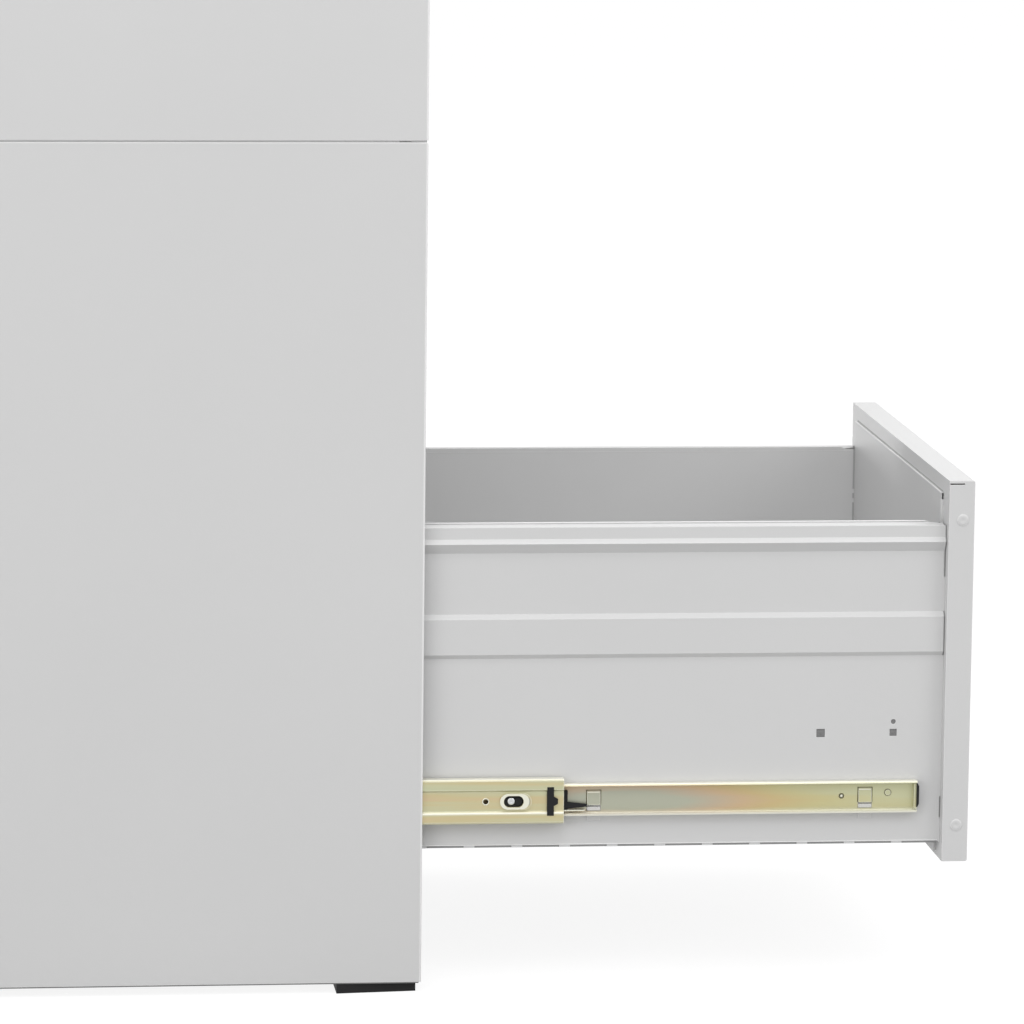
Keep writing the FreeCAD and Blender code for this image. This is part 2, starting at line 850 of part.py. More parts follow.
def drawer_wall():
    """Left wall, double: flat inside, beaded and ribbed outside, with clinched tabs along its foot."""
    start = front_inner_y + wall_end_gap
    wall = bent_sheet(wall_section(), sheet, "Y", start, tray_back_y - start)
    slit_low = wall_bottom + wall_end_slit_low
    pieces = [
        wall_tongue(rib_top, rib_top + wall_end_tongue),
        wall_tongue(slit_low + wall_end_slit, rib_bottom),
        wall_tongue(wall_bottom, slit_low),
    ]
    for place in catch_places:
        pieces += wall_catch(place)
    wall = wall.fuse(pieces)
    flange_edge = -skin_face_x
    corner = prism(
        [
            (flange_edge + sheet, front_inner_y),
            (flange_edge + sheet, front_inner_y + wall_flange_setback + sheet),
            (flange_edge - wall_flange / 2, front_inner_y),
        ],
        "Z",
        wall_top - 2 * sheet,
        3 * sheet,
    )
    cuts = [corner]
    notch = tab_pitch - tab_width
    first = front_inner_y + sheet
    outside = -wall_outer_x - sheet
    inside = -wall_inner_x + sheet
    count = int((tray_back_y - first) / tab_pitch)
    for i in range(count):
        y = first + i * tab_pitch
        cuts.append(block(outside, inside, y, y + notch, wall_bottom, wall_bottom + tab_drop))
    hole_y = front_inner_y + holes_setback
    hole_z = wall_bottom + holes_height
    for y, size in ((hole_y, square_hole), (hole_y + holes_apart, big_square_hole)):
        half = size / 2
        cuts.append(block(outside, inside, y - half, y + half, hole_z - half, hole_z + half))
    round_z = hole_z + square_hole + 1.5 * round_hole_radius
    place = (hole_y, round_z)
    cuts.append(small_round(place, round_hole_radius, "X", outside, inside - outside, steps=small_steps))
    return wall.cut(cuts)


def drawer_back_wall():
    """Low back of the drawer: a pan between the inner skins with its edges turned forwards."""
    low = wall_bottom + sheet
    flange_y = tray_back_y - back_wall_flange
    inside = skin_face_x - sheet
    outer = block(-skin_face_x, skin_face_x, flange_y, tray_back_y, low, back_wall_top)
    room = block(-inside, inside, flange_y, tray_back_y - sheet, low, back_wall_top - sheet)
    return outer.cut(room)


def drawer_floor():
    """Floor between the walls, with turned-up edges and two long pressed ribs."""
    upstand = 4.0
    rib_half = 9.0
    rib_slant = 3.0
    rib_rise = 2.5
    rib_place = 75.0
    low = wall_bottom
    path = [(-wall_inner_x, low + upstand), (-wall_inner_x, low)]
    for middle in (-rib_place, rib_place):
        path.append((middle - rib_half, low))
        path.append((middle - rib_half + rib_slant, low + rib_rise))
        path.append((middle + rib_half - rib_slant, low + rib_rise))
        path.append((middle + rib_half, low))
    path += [(wall_inner_x, low), (wall_inner_x, low + upstand)]
    length = tray_back_y - back_wall_flange - liner_face_y
    floor = bent_sheet(path, sheet, "Y", liner_face_y, length)
    tail = block(-wall_inner_x, wall_inner_x, liner_face_y + length, tray_back_y, low, low + sheet)
    return floor.fuse(tail)


# Lock, drawn open, with the crank up and the bar raised
def lock_barrel(start, length):
    """Outside of the lock's barrel, with flats that keep it from turning in the panel."""
    return small_round((lock_side_place, lock_z), lock_barrel_radius, "Y", start, length)


def lock_housing():
    """Ring and barrel that hold the plug."""
    barrel_length = front_depth + barrel_behind
    centre = (lock_side_place, lock_z)
    ring_y = front_y - lock_bezel
    ring = small_round(centre, lock_bezel_radius, "Y", ring_y, lock_bezel, steps=4 * small_steps)
    barrel = lock_barrel(front_y, barrel_length)
    bore = cylinder(
        lock_plug_radius + lock_fit,
        barrel_length + 2 * lock_bezel,
        Vector(lock_side_place, front_y - 1.5 * lock_bezel, lock_z),
    )
    return ring.fuse(barrel).cut(bore)


def lock_rod():
    """Plug, long rod and crank turned by the key."""
    plug_length = front_depth + plug_behind
    plug = cylinder(lock_plug_radius, plug_length, Vector(lock_side_place, front_y, lock_z))
    rod = small_round((lock_side_place, lock_z), lock_rod_radius, "Y", front_y, crank_y - front_y)
    pin_x = lock_side_place - crank_side
    pin_z = lock_z + crank_side
    pin = cylinder(crank_pin_radius, lock_bar_y + sheet - crank_y, Vector(pin_x, crank_y, pin_z))
    wide = lock_rod_radius / math.sqrt(2)
    arm_outline = [
        (lock_side_place + wide, lock_z + wide),
        (pin_x + wide, pin_z + wide),
        (pin_x - wide, pin_z - wide),
        (lock_side_place - wide, lock_z - wide),
    ]
    arm_outline = [(x + (wide if i in (0, 3) else -wide), z) for i, (x, z) in enumerate(arm_outline)]
    arm = prism(arm_outline, "Y", crank_y, crank_steel)
    key_slot = block(
        lock_side_place - key_slot_width / 2,
        lock_side_place + key_slot_width / 2,
        front_y,
        front_y + key_slot_depth,
        lock_z - key_slot_height / 2,
        lock_z + key_slot_height / 2,
    )
    return plug.fuse([rod, pin, arm]).cut(key_slot).removeSplitter()


def lock_bar():
    """Flat bar behind the drawers, with a slot in which the crank's pin slides."""
    half = lock_bar_width / 2
    pin_z = lock_z + crank_side
    top = pin_z + crank_pin_radius + lock_bar_above_pin
    bottom = plinth_height + back_wall_top - lift
    back = lock_bar_y
    front = back - lock_bar_steel
    bar = block(bar_middle_x - half, bar_middle_x + half, front, back, bottom, top)
    slot_half = crank_pin_radius + lock_clearance
    slot = prism(
        [
            (lock_side_place - crank_radius - slot_half, pin_z - slot_half),
            (lock_side_place - crank_side + slot_half, pin_z - slot_half),
            (lock_side_place - crank_side + slot_half, pin_z + slot_half),
            (lock_side_place - crank_radius - slot_half, pin_z + slot_half),
        ],
        "Y",
        front,
        lock_bar_steel,
    )
    return bar.cut(slot)


def lock_hooks():
    """Hooks welded to the front of the bar, one over the back wall of each drawer."""
    hooks = []
    front = lock_bar_y - lock_bar_steel
    tip_y = tray_back_y - back_wall_flange - hook_reach
    for i in range(drawer_count):
        tip_z = plinth_height + i * pitch + back_wall_top + hook_lift
        arm_z = tip_z + lift + lock_clearance
        path = [
            (front, arm_z + lock_bar_steel),
            (tip_y - lock_bar_steel, arm_z + lock_bar_steel),
            (tip_y - lock_bar_steel, tip_z),
        ]
        hooks.append(bent_sheet(path, lock_bar_steel, "X", bar_middle_x - hook_width / 2, hook_width))
    return hooks


# Everything in place
def placed(shape, back, level):
    """A drawer piece moved to its drawer: a distance forwards and a level up."""
    return shape.translated(Vector(0, -back, level))


def build_cabinet():
    for name, side in (("lower", lower_side()), ("upper", upper_side())):
        save(f"side_{name}_left", [side])
        save(f"side_{name}_right", [mirrored(side)])
    save("top_panel", [top_panel()])
    save("base_pan", [base_pan()])
    save("cross_rails", [cross_rail(plinth_height + i * pitch) for i in range(1, drawer_count)])
    low_guides = [plinth_height + back_wall_top + pitch / 3]
    high_guides = [seam + pitch / 2, cap_bottom - pitch / 3]
    back_bottom = foot_height + sheet
    save("back_lower", [back_panel(back_bottom, seam, low_guides)])
    save("back_upper", [back_panel(seam, cap_bottom, high_guides)])
    save("foot_pads", foot_pads())
    levels = []
    for bottom, top in ((back_bottom, seam), (seam, cap_bottom)):
        for i in range(screws_per_side):
            levels.append(bottom + (top - bottom) * (1 + 4 * i) / (4 * screws_per_side - 2))
    save("panel_screws", panel_screws(levels))
    rails = [placed(cabinet_rail(), 0, plinth_height + i * pitch) for i in range(drawer_count)]
    save("cabinet_rails", rails + [mirrored(rail) for rail in rails])
    save("lock_housing", [lock_housing()])
    save("lock_rod", [lock_rod()])
    save("lock_bar", [lock_bar()])
    save("lock_hooks", lock_hooks())


def build_drawers():
    wall = drawer_wall()
    middle = []
    for piece in middle_rail():
        middle += both_sides(piece)
    bumpers = both_sides(stop_bumper(middle_web - 0.4, middle_web + middle_recess + rail_steel + 0.2))
    drawer_pieces = {
        "front": [drawer_front()],
        "front_liner": [front_liner()],
        "handle": [drawer_handle()],
        "left_wall": [wall],
        "right_wall": [mirrored(wall)],
        "back_wall": [drawer_back_wall()],
        "floor": [drawer_floor()],
        "drawer_rails": both_sides(drawer_rail()),
        "release_levers": both_sides(release_lever()),
    }
    middle_pieces = {"middle_rails": middle, "stop_bumpers": bumpers}
    for i in range(drawer_count):
        level = plinth_height + i * pitch
        middle_out = middle_drawn_out if i == 0 else 0.0
        drawer_out = drawn_out if i == 0 else 0.0
        for name, shapes in drawer_pieces.items():
            save(f"drawer_{i + 1}_{name}", [placed(s, drawer_out, level) for s in shapes])
        for name, shapes in middle_pieces.items():
            save(f"drawer_{i + 1}_{name}", [placed(s, middle_out, level) for s in shapes])


os.makedirs("parts", exist_ok=True)
build_cabinet()
build_drawers()
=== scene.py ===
# %% [markdown]
# # A steel filing cabinet with its lowest drawer open
# The cabinet arrives as a finished model: every sheet, rail and pad is already there at its real
# size, and each one belongs to a body that can move.
# What is left for this lesson is the look: paint with the faint skin of baked powder, rails with
# the rainbow of yellow passivated zinc, black plastic, small rivets, and soft daylight on a white
# floor.
# The first step only loads the model.

# %% Load the cabinet
import math
import bmesh
import bpy
from mathutils import Matrix, Vector


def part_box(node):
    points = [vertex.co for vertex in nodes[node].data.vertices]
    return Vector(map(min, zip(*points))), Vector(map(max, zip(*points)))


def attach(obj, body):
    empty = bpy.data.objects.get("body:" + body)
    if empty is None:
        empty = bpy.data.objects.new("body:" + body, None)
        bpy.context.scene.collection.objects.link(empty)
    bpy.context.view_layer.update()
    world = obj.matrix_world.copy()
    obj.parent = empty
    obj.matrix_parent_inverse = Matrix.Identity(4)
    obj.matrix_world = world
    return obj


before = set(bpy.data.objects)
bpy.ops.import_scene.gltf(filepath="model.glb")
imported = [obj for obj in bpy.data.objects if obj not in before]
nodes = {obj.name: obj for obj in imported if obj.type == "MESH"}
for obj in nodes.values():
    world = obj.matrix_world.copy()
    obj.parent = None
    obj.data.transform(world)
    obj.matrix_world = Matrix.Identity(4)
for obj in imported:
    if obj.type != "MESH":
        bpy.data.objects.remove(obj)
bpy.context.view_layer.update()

MM = 0.001
drawers = sorted({name.split("_")[1] for name in nodes if name.startswith("drawer_")})

# %% [markdown]
# ## The camera
# The picture was taken from the cabinet's left side, a few metres away and a little above the
# drawer, with a long lens, so lines that run away from the viewer hardly close in.
# A camera could be aimed with a constraint at an empty. Here its turn, its tilt and the small lean
# of the horizon are three plain angles, because they were measured and can then be read back.

# %% Place the camera
camera_place = Vector((-4.730, 0.3356, 1.0694))
camera_turn = math.radians(-96.324)
camera_tilt = math.radians(8.711)
camera_lean = math.radians(0.645)
camera_lens = 210.46
sensor_width = 36.0
camera_reach = 100.0

back = Vector((
    math.sin(camera_turn) * math.cos(camera_tilt),
    -math.cos(camera_turn) * math.cos(camera_tilt),
    math.sin(camera_tilt),
))
level = Vector((math.cos(camera_turn), math.sin(camera_turn), 0.0))
upright = back.cross(level)
right = math.cos(camera_lean) * level + math.sin(camera_lean) * upright
up = math.cos(camera_lean) * upright - math.sin(camera_lean) * level
axes = Matrix((right, up, back)).transposed().to_4x4()

camera_data = bpy.data.cameras.new("camera")
camera_data.lens = camera_lens
camera_data.sensor_width = sensor_width
camera_data.clip_end = camera_reach
camera = bpy.data.objects.new("camera", camera_data)
camera.matrix_world = Matrix.Translation(camera_place) @ axes
bpy.context.scene.collection.objects.link(camera)
bpy.context.scene.camera = camera
print("camera at", [round(v, 3) for v in camera.location], "lens", camera_lens)

# %% [markdown]
# ## Daylight and a white room
# Pale sheet steel is photographed inside a tent of white cloth: light comes from everywhere, and
# the folds show only because each one faces another way.
# The tent could be modelled. A sky of one even tone does the same with no walls in the way.
# The white of the room is painted, not lit: rays that the camera, a gloss or a glass sends out see
# pure white, while the light that reaches the cabinet stays at its own plain level.

# %% Build the sky
SKY_LEVEL = 0.60
ROOM_LEVEL = 1.0
WHITE = (1.0, 1.0, 1.0, 1.0)
bpy.context.scene.view_settings.view_transform = "Standard"

world = bpy.data.worlds.new("studio")
bpy.context.scene.world = world
world.use_nodes = True
sky = world.node_tree
sky.nodes.clear()


def node(tree, kind, **settings):
    """Adds a node to a tree and sets the properties named."""
    made = tree.nodes.new(kind)
    for key, value in settings.items():
        setattr(made, key, value)
    return made


def seen_directly(tree):
    """1 for rays from the camera or from a glossy or clear surface, 0 for the rest."""
    path = node(tree, "ShaderNodeLightPath")
    gloss = node(tree, "ShaderNodeMath", operation="MAXIMUM")
    tree.links.new(path.outputs["Is Camera Ray"], gloss.inputs[0])
    tree.links.new(path.outputs["Is Glossy Ray"], gloss.inputs[1])
    either = node(tree, "ShaderNodeMath", operation="MAXIMUM")
    tree.links.new(gloss.outputs[0], either.inputs[0])
    tree.links.new(path.outputs["Is Transmission Ray"], either.inputs[1])
    return either.outputs[0]


def by_ray(tree, cast, seen):
    """One shader for the light that is cast on things, another for what is seen directly."""
    choose = node(tree, "ShaderNodeMixShader")
    tree.links.new(seen_directly(tree), choose.inputs[0])
    tree.links.new(cast, choose.inputs[1])
    tree.links.new(seen, choose.inputs[2])
    return choose.outputs[0]


def background(strength):
    """White from all around, at a strength."""
    made = node(sky, "ShaderNodeBackground")
    made.inputs["Color"].default_value = WHITE
    made.inputs["Strength"].default_value = strength
    return made.outputs[0]


sky_end = node(sky, "ShaderNodeOutputWorld")
sky.links.new(by_ray(sky, background(SKY_LEVEL), background(ROOM_LEVEL)), sky_end.inputs[0])
print("sky level", SKY_LEVEL)

# %% [markdown]
# ## Five wide lamps
# A sky alone makes the folds of a sheet too even. Real tents have lamps behind the cloth, so that
# the top of a rim is brighter than its side.
# Sun lamps would give hard shadows, so these are wide squares: two above, two on the viewer's side,
# and a small low one behind the drawer that gives the far end of the front its gleam.

# %% Hang the lamps


def wide_lamp(name, place, aim, size, power):
    """A square lamp that faces a point."""
    data = bpy.data.lights.new(name, "AREA")
    data.shape = "SQUARE"
    data.size = size
    data.energy = power
    lamp = bpy.data.objects.new(name, data)
    lamp.location = place
    lamp.rotation_euler = (Vector(aim) - Vector(place)).to_track_quat("-Z", "Y").to_euler()
    bpy.context.scene.collection.objects.link(lamp)
    return lamp


# Each lamp: its name, its place, the point it faces, its size in metres and its power in watts
lamp_plan = (
    ("above_left", (-2.2, 0.2, 3.4), (0.0, 0.1, 0.4), 2.0, 42.0),
    ("above_front", (0.5, -1.5, 3.5), (0.0, -0.3, 0.3), 2.0, 38.0),
    ("side", (-3.4, 3.4, 1.8), (0.0, 0.0, 0.6), 2.0, 34.0),
    ("front_corner", (-2.5, -3.0, 2.5), (0.0, -0.3, 0.4), 2.0, 30.0),
    ("low_behind", (2.0, 3.0, 0.24), (0.2, -0.5, 0.38), 0.4, 34.0),
)
lamps = [wide_lamp(*row) for row in lamp_plan]
print("lamps:", [lamp.name for lamp in lamps])

# %% [markdown]
# ## The floor
# The cabinet stands on a white sheet that runs on past the picture, with a faint shadow under the
# pads and the open drawer.
# A shadow catcher needs compositing later. Here the floor is one plain square whose material adds a
# little shaded white to an even glow, so it stays white where nothing shades it and keeps the
# shadow, and it throws back a calmer light than it shows.

# %% Lay the floor
FLOOR_HALF = 30.0
FLOOR_BOUNCE = 0.52
FLOOR_SHADE = 0.20
FLOOR_GLOW = 0.88


def grey(tone):
    """Red, green and blue at one tone."""
    return (tone, tone, tone)


def diffuse(tree, tone):
    """Plain matt grey."""
    made = node(tree, "ShaderNodeBsdfDiffuse")
    made.inputs["Color"].default_value = (*grey(tone), 1.0)
    return made.outputs[0]


floor_mesh = bpy.data.meshes.new("floor")
floor_corners = [
    (-FLOOR_HALF, -FLOOR_HALF, 0.0),
    (FLOOR_HALF, -FLOOR_HALF, 0.0),
    (FLOOR_HALF, FLOOR_HALF, 0.0),
    (-FLOOR_HALF, FLOOR_HALF, 0.0),
]
floor_mesh.from_pydata(floor_corners, [], [(0, 1, 2, 3)])
floor = bpy.data.objects.new("floor", floor_mesh)
bpy.context.scene.collection.objects.link(floor)

floor_paint = bpy.data.materials.new("floor_white")
floor_paint.use_nodes = True
tree = floor_paint.node_tree
tree.nodes.clear()
glow = node(tree, "ShaderNodeEmission")
glow.inputs["Color"].default_value = WHITE
glow.inputs["Strength"].default_value = FLOOR_GLOW
shown = node(tree, "ShaderNodeAddShader")
tree.links.new(diffuse(tree, FLOOR_SHADE), shown.inputs[0])
tree.links.new(glow.outputs[0], shown.inputs[1])
floor_end = node(tree, "ShaderNodeOutputMaterial")
tree.links.new(by_ray(tree, diffuse(tree, FLOOR_BOUNCE), shown.outputs[0]), floor_end.inputs[0])
floor_mesh.materials.append(floor_paint)
print("floor laid,", 2 * FLOOR_HALF, "m across")

# %% [markdown]
# ## The powder coat
# The sheets are sprayed with dry powder and baked, which leaves a satin skin with a very faint
# ripple, like the peel of an orange seen from arm's length. Every outer edge is painted a thin
# paler line, a painted highlight where a rounded fold would catch the light.
# A photograph wrapped round the model could show this; noise that fills space does it without
# seams, so every sheet has the same skin at the same scale.
# The Bevel node rounds the light on each fold. Where its normal leaves the sheet's own, there is an
# edge, and where Ambient Occlusion finds nothing close by, that edge points outwards: the two
# together say where the painted highlight goes.

# %% Helpers for every material


def base_material(name, colour, metal, roughness):
    """A material with one main shader, and the tree and shader to go on with."""
    made = bpy.data.materials.new(name)
    made.use_nodes = True
    shader = made.node_tree.nodes["Principled BSDF"]
    shader.inputs["Base Color"].default_value = (*colour, 1.0)
    shader.inputs["Metallic"].default_value = metal
    shader.inputs["Roughness"].default_value = roughness
    return made, made.node_tree, shader


def space(tree, stretch=(1.0, 1.0, 1.0), kind="Object"):
    """Place in the piece's own space, stretched along each axis."""
    place = node(tree, "ShaderNodeTexCoord")
    scale = node(tree, "ShaderNodeMapping")
    scale.inputs["Scale"].default_value = stretch
    tree.links.new(place.outputs[kind], scale.inputs["Vector"])
    return scale.outputs[0]


def noise(tree, per_metre, detail=2.0, stretch=(1.0, 1.0, 1.0)):
    """Even noise with so many grains to the metre."""
    made = node(tree, "ShaderNodeTexNoise")
    made.inputs["Scale"].default_value = per_metre
    made.inputs["Detail"].default_value = detail
    tree.links.new(space(tree, stretch), made.inputs["Vector"])
    return made.outputs["Fac"]


def ramp(tree, factor, *stops):
    """Colours at places from 0 to 1 along a factor."""
    made = node(tree, "ShaderNodeValToRGB")
    band = made.color_ramp
    while len(band.elements) < len(stops):
        band.elements.new(0.5)
    for element, (place, colour) in zip(band.elements, stops):
        element.position = place
        element.color = (*colour, 1.0)
    tree.links.new(factor, made.inputs["Fac"])
    return made.outputs["Color"]


def math_node(tree, kind, first, second=0.0):
    """One step of arithmetic between sockets or plain numbers."""
    made = node(tree, "ShaderNodeMath", operation=kind)
    for socket, value in zip(made.inputs, (first, second)):
        if isinstance(value, (int, float)):
            socket.default_value = value
        else:
            tree.links.new(value, socket)
    return made.outputs[0]


def share_between(tree, value, start, stop):
    """0 at one value, 1 at another, and even between the two."""
    made = node(tree, "ShaderNodeMapRange")
    made.inputs["From Min"].default_value = start
    made.inputs["From Max"].default_value = stop
    tree.links.new(value, made.inputs["Value"])
    return made.outputs[0]


# The Mix node has a set of sockets for every kind of value; these are its colour sockets
COLOUR_FROM, COLOUR_TO, COLOUR_RESULT = 6, 7, 2


def mixed(tree, factor, first, second):
    """Blend of a colour socket towards three numbers."""
    made = node(tree, "ShaderNodeMix", data_type="RGBA")
    tree.links.new(factor, made.inputs["Factor"])
    tree.links.new(first, made.inputs[COLOUR_FROM])
    made.inputs[COLOUR_TO].default_value = (*second, 1.0)
    return made.outputs[COLOUR_RESULT]


print("helpers ready for materials")

# %% Mix the powder coat
EDGE_SAMPLES = 4
EDGE_BEGINS = 0.985
EDGE_FULL = 0.90
OPEN_BEGINS = 0.80
OPEN_FULL = 0.95
OPEN_REACH = 3.0
SATIN = 0.42
CLOUDS_PER_METRE = 4.0
CLOUD_DETAIL = 3.0
CLOUD_SPAN = (0.3, 0.7)
RIPPLES_PER_METRE = 700.0
RIPPLE_DEPTH = 0.00003
PAINT_EDGE_RADIUS = 0.001
PAINT_ROUNDING = 0.0005


def rounded(tree, radius):
    """The surface's normal with every edge rounded to a radius."""
    bevel = node(tree, "ShaderNodeBevel", samples=EDGE_SAMPLES)
    bevel.inputs["Radius"].default_value = radius
    return bevel.outputs[0]


def surface_relief(tree, shader, height, depth, edge_radius):
    """Bump of so many metres, over edges rounded to a radius."""
    bump = node(tree, "ShaderNodeBump")
    bump.inputs["Strength"].default_value = 1.0
    bump.inputs["Distance"].default_value = depth
    tree.links.new(height, bump.inputs["Height"])
    tree.links.new(rounded(tree, edge_radius), bump.inputs["Normal"])
    tree.links.new(bump.outputs[0], shader.inputs["Normal"])


def outer_edges(tree, radius):
    """1 on edges that point outwards, 0 on flat sheet and in corners."""
    turn = node(tree, "ShaderNodeVectorMath", operation="DOT_PRODUCT")
    tree.links.new(rounded(tree, radius), turn.inputs[0])
    tree.links.new(node(tree, "ShaderNodeNewGeometry").outputs["True Normal"], turn.inputs[1])
    edge = share_between(tree, turn.outputs["Value"], EDGE_BEGINS, EDGE_FULL)
    near = node(tree, "ShaderNodeAmbientOcclusion", samples=EDGE_SAMPLES)
    near.inputs["Distance"].default_value = OPEN_REACH * radius
    open_air = share_between(tree, near.outputs["AO"], OPEN_BEGINS, OPEN_FULL)
    return math_node(tree, "MULTIPLY", edge, open_air)


def powder_coat(name, light, dark, edge):
    """Satin paint that drifts a little between two tones, with a painted highlight on its outer
    edges.
    """
    made, tree, shader = base_material(name, grey(light), 0.0, SATIN)
    clouds = noise(tree, CLOUDS_PER_METRE, CLOUD_DETAIL)
    tone = ramp(tree, clouds, (CLOUD_SPAN[0], grey(dark)), (CLOUD_SPAN[1], grey(light)))
    pale = outer_edges(tree, PAINT_EDGE_RADIUS)
    tree.links.new(mixed(tree, pale, tone, grey(edge)), shader.inputs["Base Color"])
    surface_relief(tree, shader, noise(tree, RIPPLES_PER_METRE), RIPPLE_DEPTH, PAINT_ROUNDING)
    return made


paint_light = 0.668
paint_dark = 0.654
# The edge tone is a painted highlight on every outer fold.
edge_highlight = 0.86
# The bead tones are a lighter copy of the paint: painted highlight for beads, folds and edges.
highlight_tone_light = 0.84
highlight_tone_dark = 0.82
paint = powder_coat("light_grey_paint", paint_light, paint_dark, edge_highlight)
highlight_paint = powder_coat("light_grey_paint_bead", highlight_tone_light, highlight_tone_dark, edge_highlight)
print("paint tones", paint_dark, "to", paint_light, "and", edge_highlight, "on edges")

# %% [markdown]
# ## Yellow passivated steel
# The rails are zinc plated and dipped in a yellow bath. The film is thinner than a wavelength, so
# it shows straw yellow that turns to orange, pink and blue-grey where the film grows thicker, in
# streaks drawn out along the rail. The rolled lips and the step of the middle member are painted
# pale, a painted highlight where they would catch the light.
# A thin film can be simulated from its thickness. Here the thickness is a field as well, but it
# runs through a strip of the colours that such rails really have, which keeps them in place
# however the rail is lit.
# The middle members are straw with fine streaks. On the drawer's member the film is thickest behind
# the lever, so its field is a long oval round that place, broken up by stretched noise.

# %% Helpers for the films
STRAW = (0.575, 0.505, 0.300)
# A lighter copy of the film: painted highlight for rims, collars, heads and shelves
HIGHLIGHT_STRAW = (0.80, 0.79, 0.67)
# The painted highlight on the film's lips and outer edges
GLINT_STRAW = (0.86, 0.85, 0.75)
FILM_METAL = 0.5
FILM_ROUGHNESS = 0.42
PALE_ROUGHNESS = 0.35
FILM_EDGE_RADIUS = 0.0011
STRIP_GRAIN = 900.0
STRIP_GRAIN_DEPTH = 0.00002
SMALL_ROUNDING = 0.0003


def fine_finish(name, colour, metal, roughness, grain, depth, shine=0.5):
    """A plain finish with grain of its own: grains to the metre, and their depth."""
    made, tree, shader = base_material(name, colour, metal, roughness)
    shader.inputs["Specular IOR Level"].default_value = shine
    surface_relief(tree, shader, noise(tree, grain), depth, SMALL_ROUNDING)
    return made


def share_of_box(tree, axis):
    """How far along one axis of the piece's own box a place lies, from 0 to 1."""
    parts = node(tree, "ShaderNodeSeparateXYZ")
    tree.links.new(space(tree, kind="Generated"), parts.inputs[0])
    return parts.outputs[axis]


def squared_distance(tree, axis, middle, reach):
    """Distance along one axis from a place, squared, in units of a reach."""
    shifted = math_node(tree, "SUBTRACT", share_of_box(tree, axis), middle)
    scaled = math_node(tree, "DIVIDE", shifted, reach)
    return math_node(tree, "MULTIPLY", scaled, scaled)


def fading(tree, squared):
    """1 where a squared distance is nothing, fading smoothly to 0 beyond its reach."""
    return math_node(tree, "EXPONENT", math_node(tree, "MULTIPLY", squared, -1.0))


def film_finish(name, film_of, glint_places):
    """Passivated steel: a film over drawn strip, with a painted highlight on its lips and outer
    edges.
    """
    made, tree, shader = base_material(name, STRAW, FILM_METAL, FILM_ROUGHNESS)
    film = film_of(tree)
    pale = outer_edges(tree, FILM_EDGE_RADIUS)
    for height, half in glint_places:
        band = fading(tree, squared_distance(tree, "Z", height, half))
        pale = math_node(tree, "MAXIMUM", pale, band)
    tree.links.new(mixed(tree, pale, film, GLINT_STRAW), shader.inputs["Base Color"])
    grain = noise(tree, STRIP_GRAIN, stretch=(1.0, 0.1, 1.0))
    surface_relief(tree, shader, grain, STRIP_GRAIN_DEPTH, SMALL_ROUNDING)
    return made


# The tone printed here is the painted highlight on lips and edges
print("film worn to", GLINT_STRAW, "on lips and edges")

# %% Mix the rail finishes
straw_tones = (
    (0.34, (0.54, 0.56, 0.37)),
    (0.54, (0.56, 0.535, 0.34)),
    (0.70, (0.585, 0.505, 0.29)),
    (0.84, (0.61, 0.475, 0.30)),
)
rainbow_tones = (
    (0.02, (0.56, 0.56, 0.36)),
    (0.18, (0.57, 0.52, 0.28)),
    (0.36, (0.58, 0.46, 0.24)),
    (0.52, (0.58, 0.43, 0.27)),
    (0.68, (0.51, 0.43, 0.32)),
    (0.84, (0.44, 0.45, 0.36)),
)
# Places of painted highlight: share of the piece's height, and half the width of the band
step_and_lip = ((0.285, 0.020), (0.915, 0.016))
both_lips = ((0.0, 0.10), (1.0, 0.03))
# Where a film is thick: the place and the reach, as shares of the piece's box
straw_middle = (0.47, 0.17)
lever_along = (0.41, 0.20)
lever_up = (0.40, 0.62)
# Streaks: grains to the metre, detail, and the stretch along each axis
fine_streaks = (170.0, 3.0, (1.0, 0.03, 1.0))
broad_streaks = (60.0, 3.0, (1.0, 0.05, 1.4))
straw_swell = 0.22
streak_share = 0.6
streak_middle = 0.5


def straw_film(tree):
    """Straw film, a little thicker along the middle of the strip, with fine streaks."""
    middle = fading(tree, squared_distance(tree, "Z", *straw_middle))
    streaks = noise(tree, *fine_streaks)
    thickness = math_node(tree, "ADD", streaks, math_node(tree, "MULTIPLY", middle, straw_swell))
    return ramp(tree, thickness, *straw_tones)


def rainbow_film(tree):
    """Film that is thickest at one place, from straw at the ends through orange to grey-green."""
    along = squared_distance(tree, "Y", *lever_along)
    across = squared_distance(tree, "Z", *lever_up)
    hill = fading(tree, math_node(tree, "ADD", along, across))
    streaks = math_node(tree, "SUBTRACT", noise(tree, *broad_streaks), streak_middle)
    thickness = math_node(tree, "ADD", hill, math_node(tree, "MULTIPLY", streaks, streak_share))
    return ramp(tree, thickness, *rainbow_tones)


chromate = film_finish("chromated_steel", straw_film, step_and_lip)
rainbow = film_finish("chromated_steel_rainbow", rainbow_film, both_lips)
highlight_chromate = fine_finish(
    "chromated_steel_pale", HIGHLIGHT_STRAW, FILM_METAL, PALE_ROUGHNESS, STRIP_GRAIN, STRIP_GRAIN_DEPTH
)
print("rail finishes:", chromate.name, rainbow.name, highlight_chromate.name)

# %% [markdown]
# ## The small finishes
# Bright zinc, chrome, black and grey plastic cover the rest, with dull tones for gaps that are too
# narrow for light. Each has its own grain, because a surface with none reads as a computer picture
# at once.
# Plastic parts like these are spark-eroded in the mould, so their skin is matt: a high roughness
# and little shine.

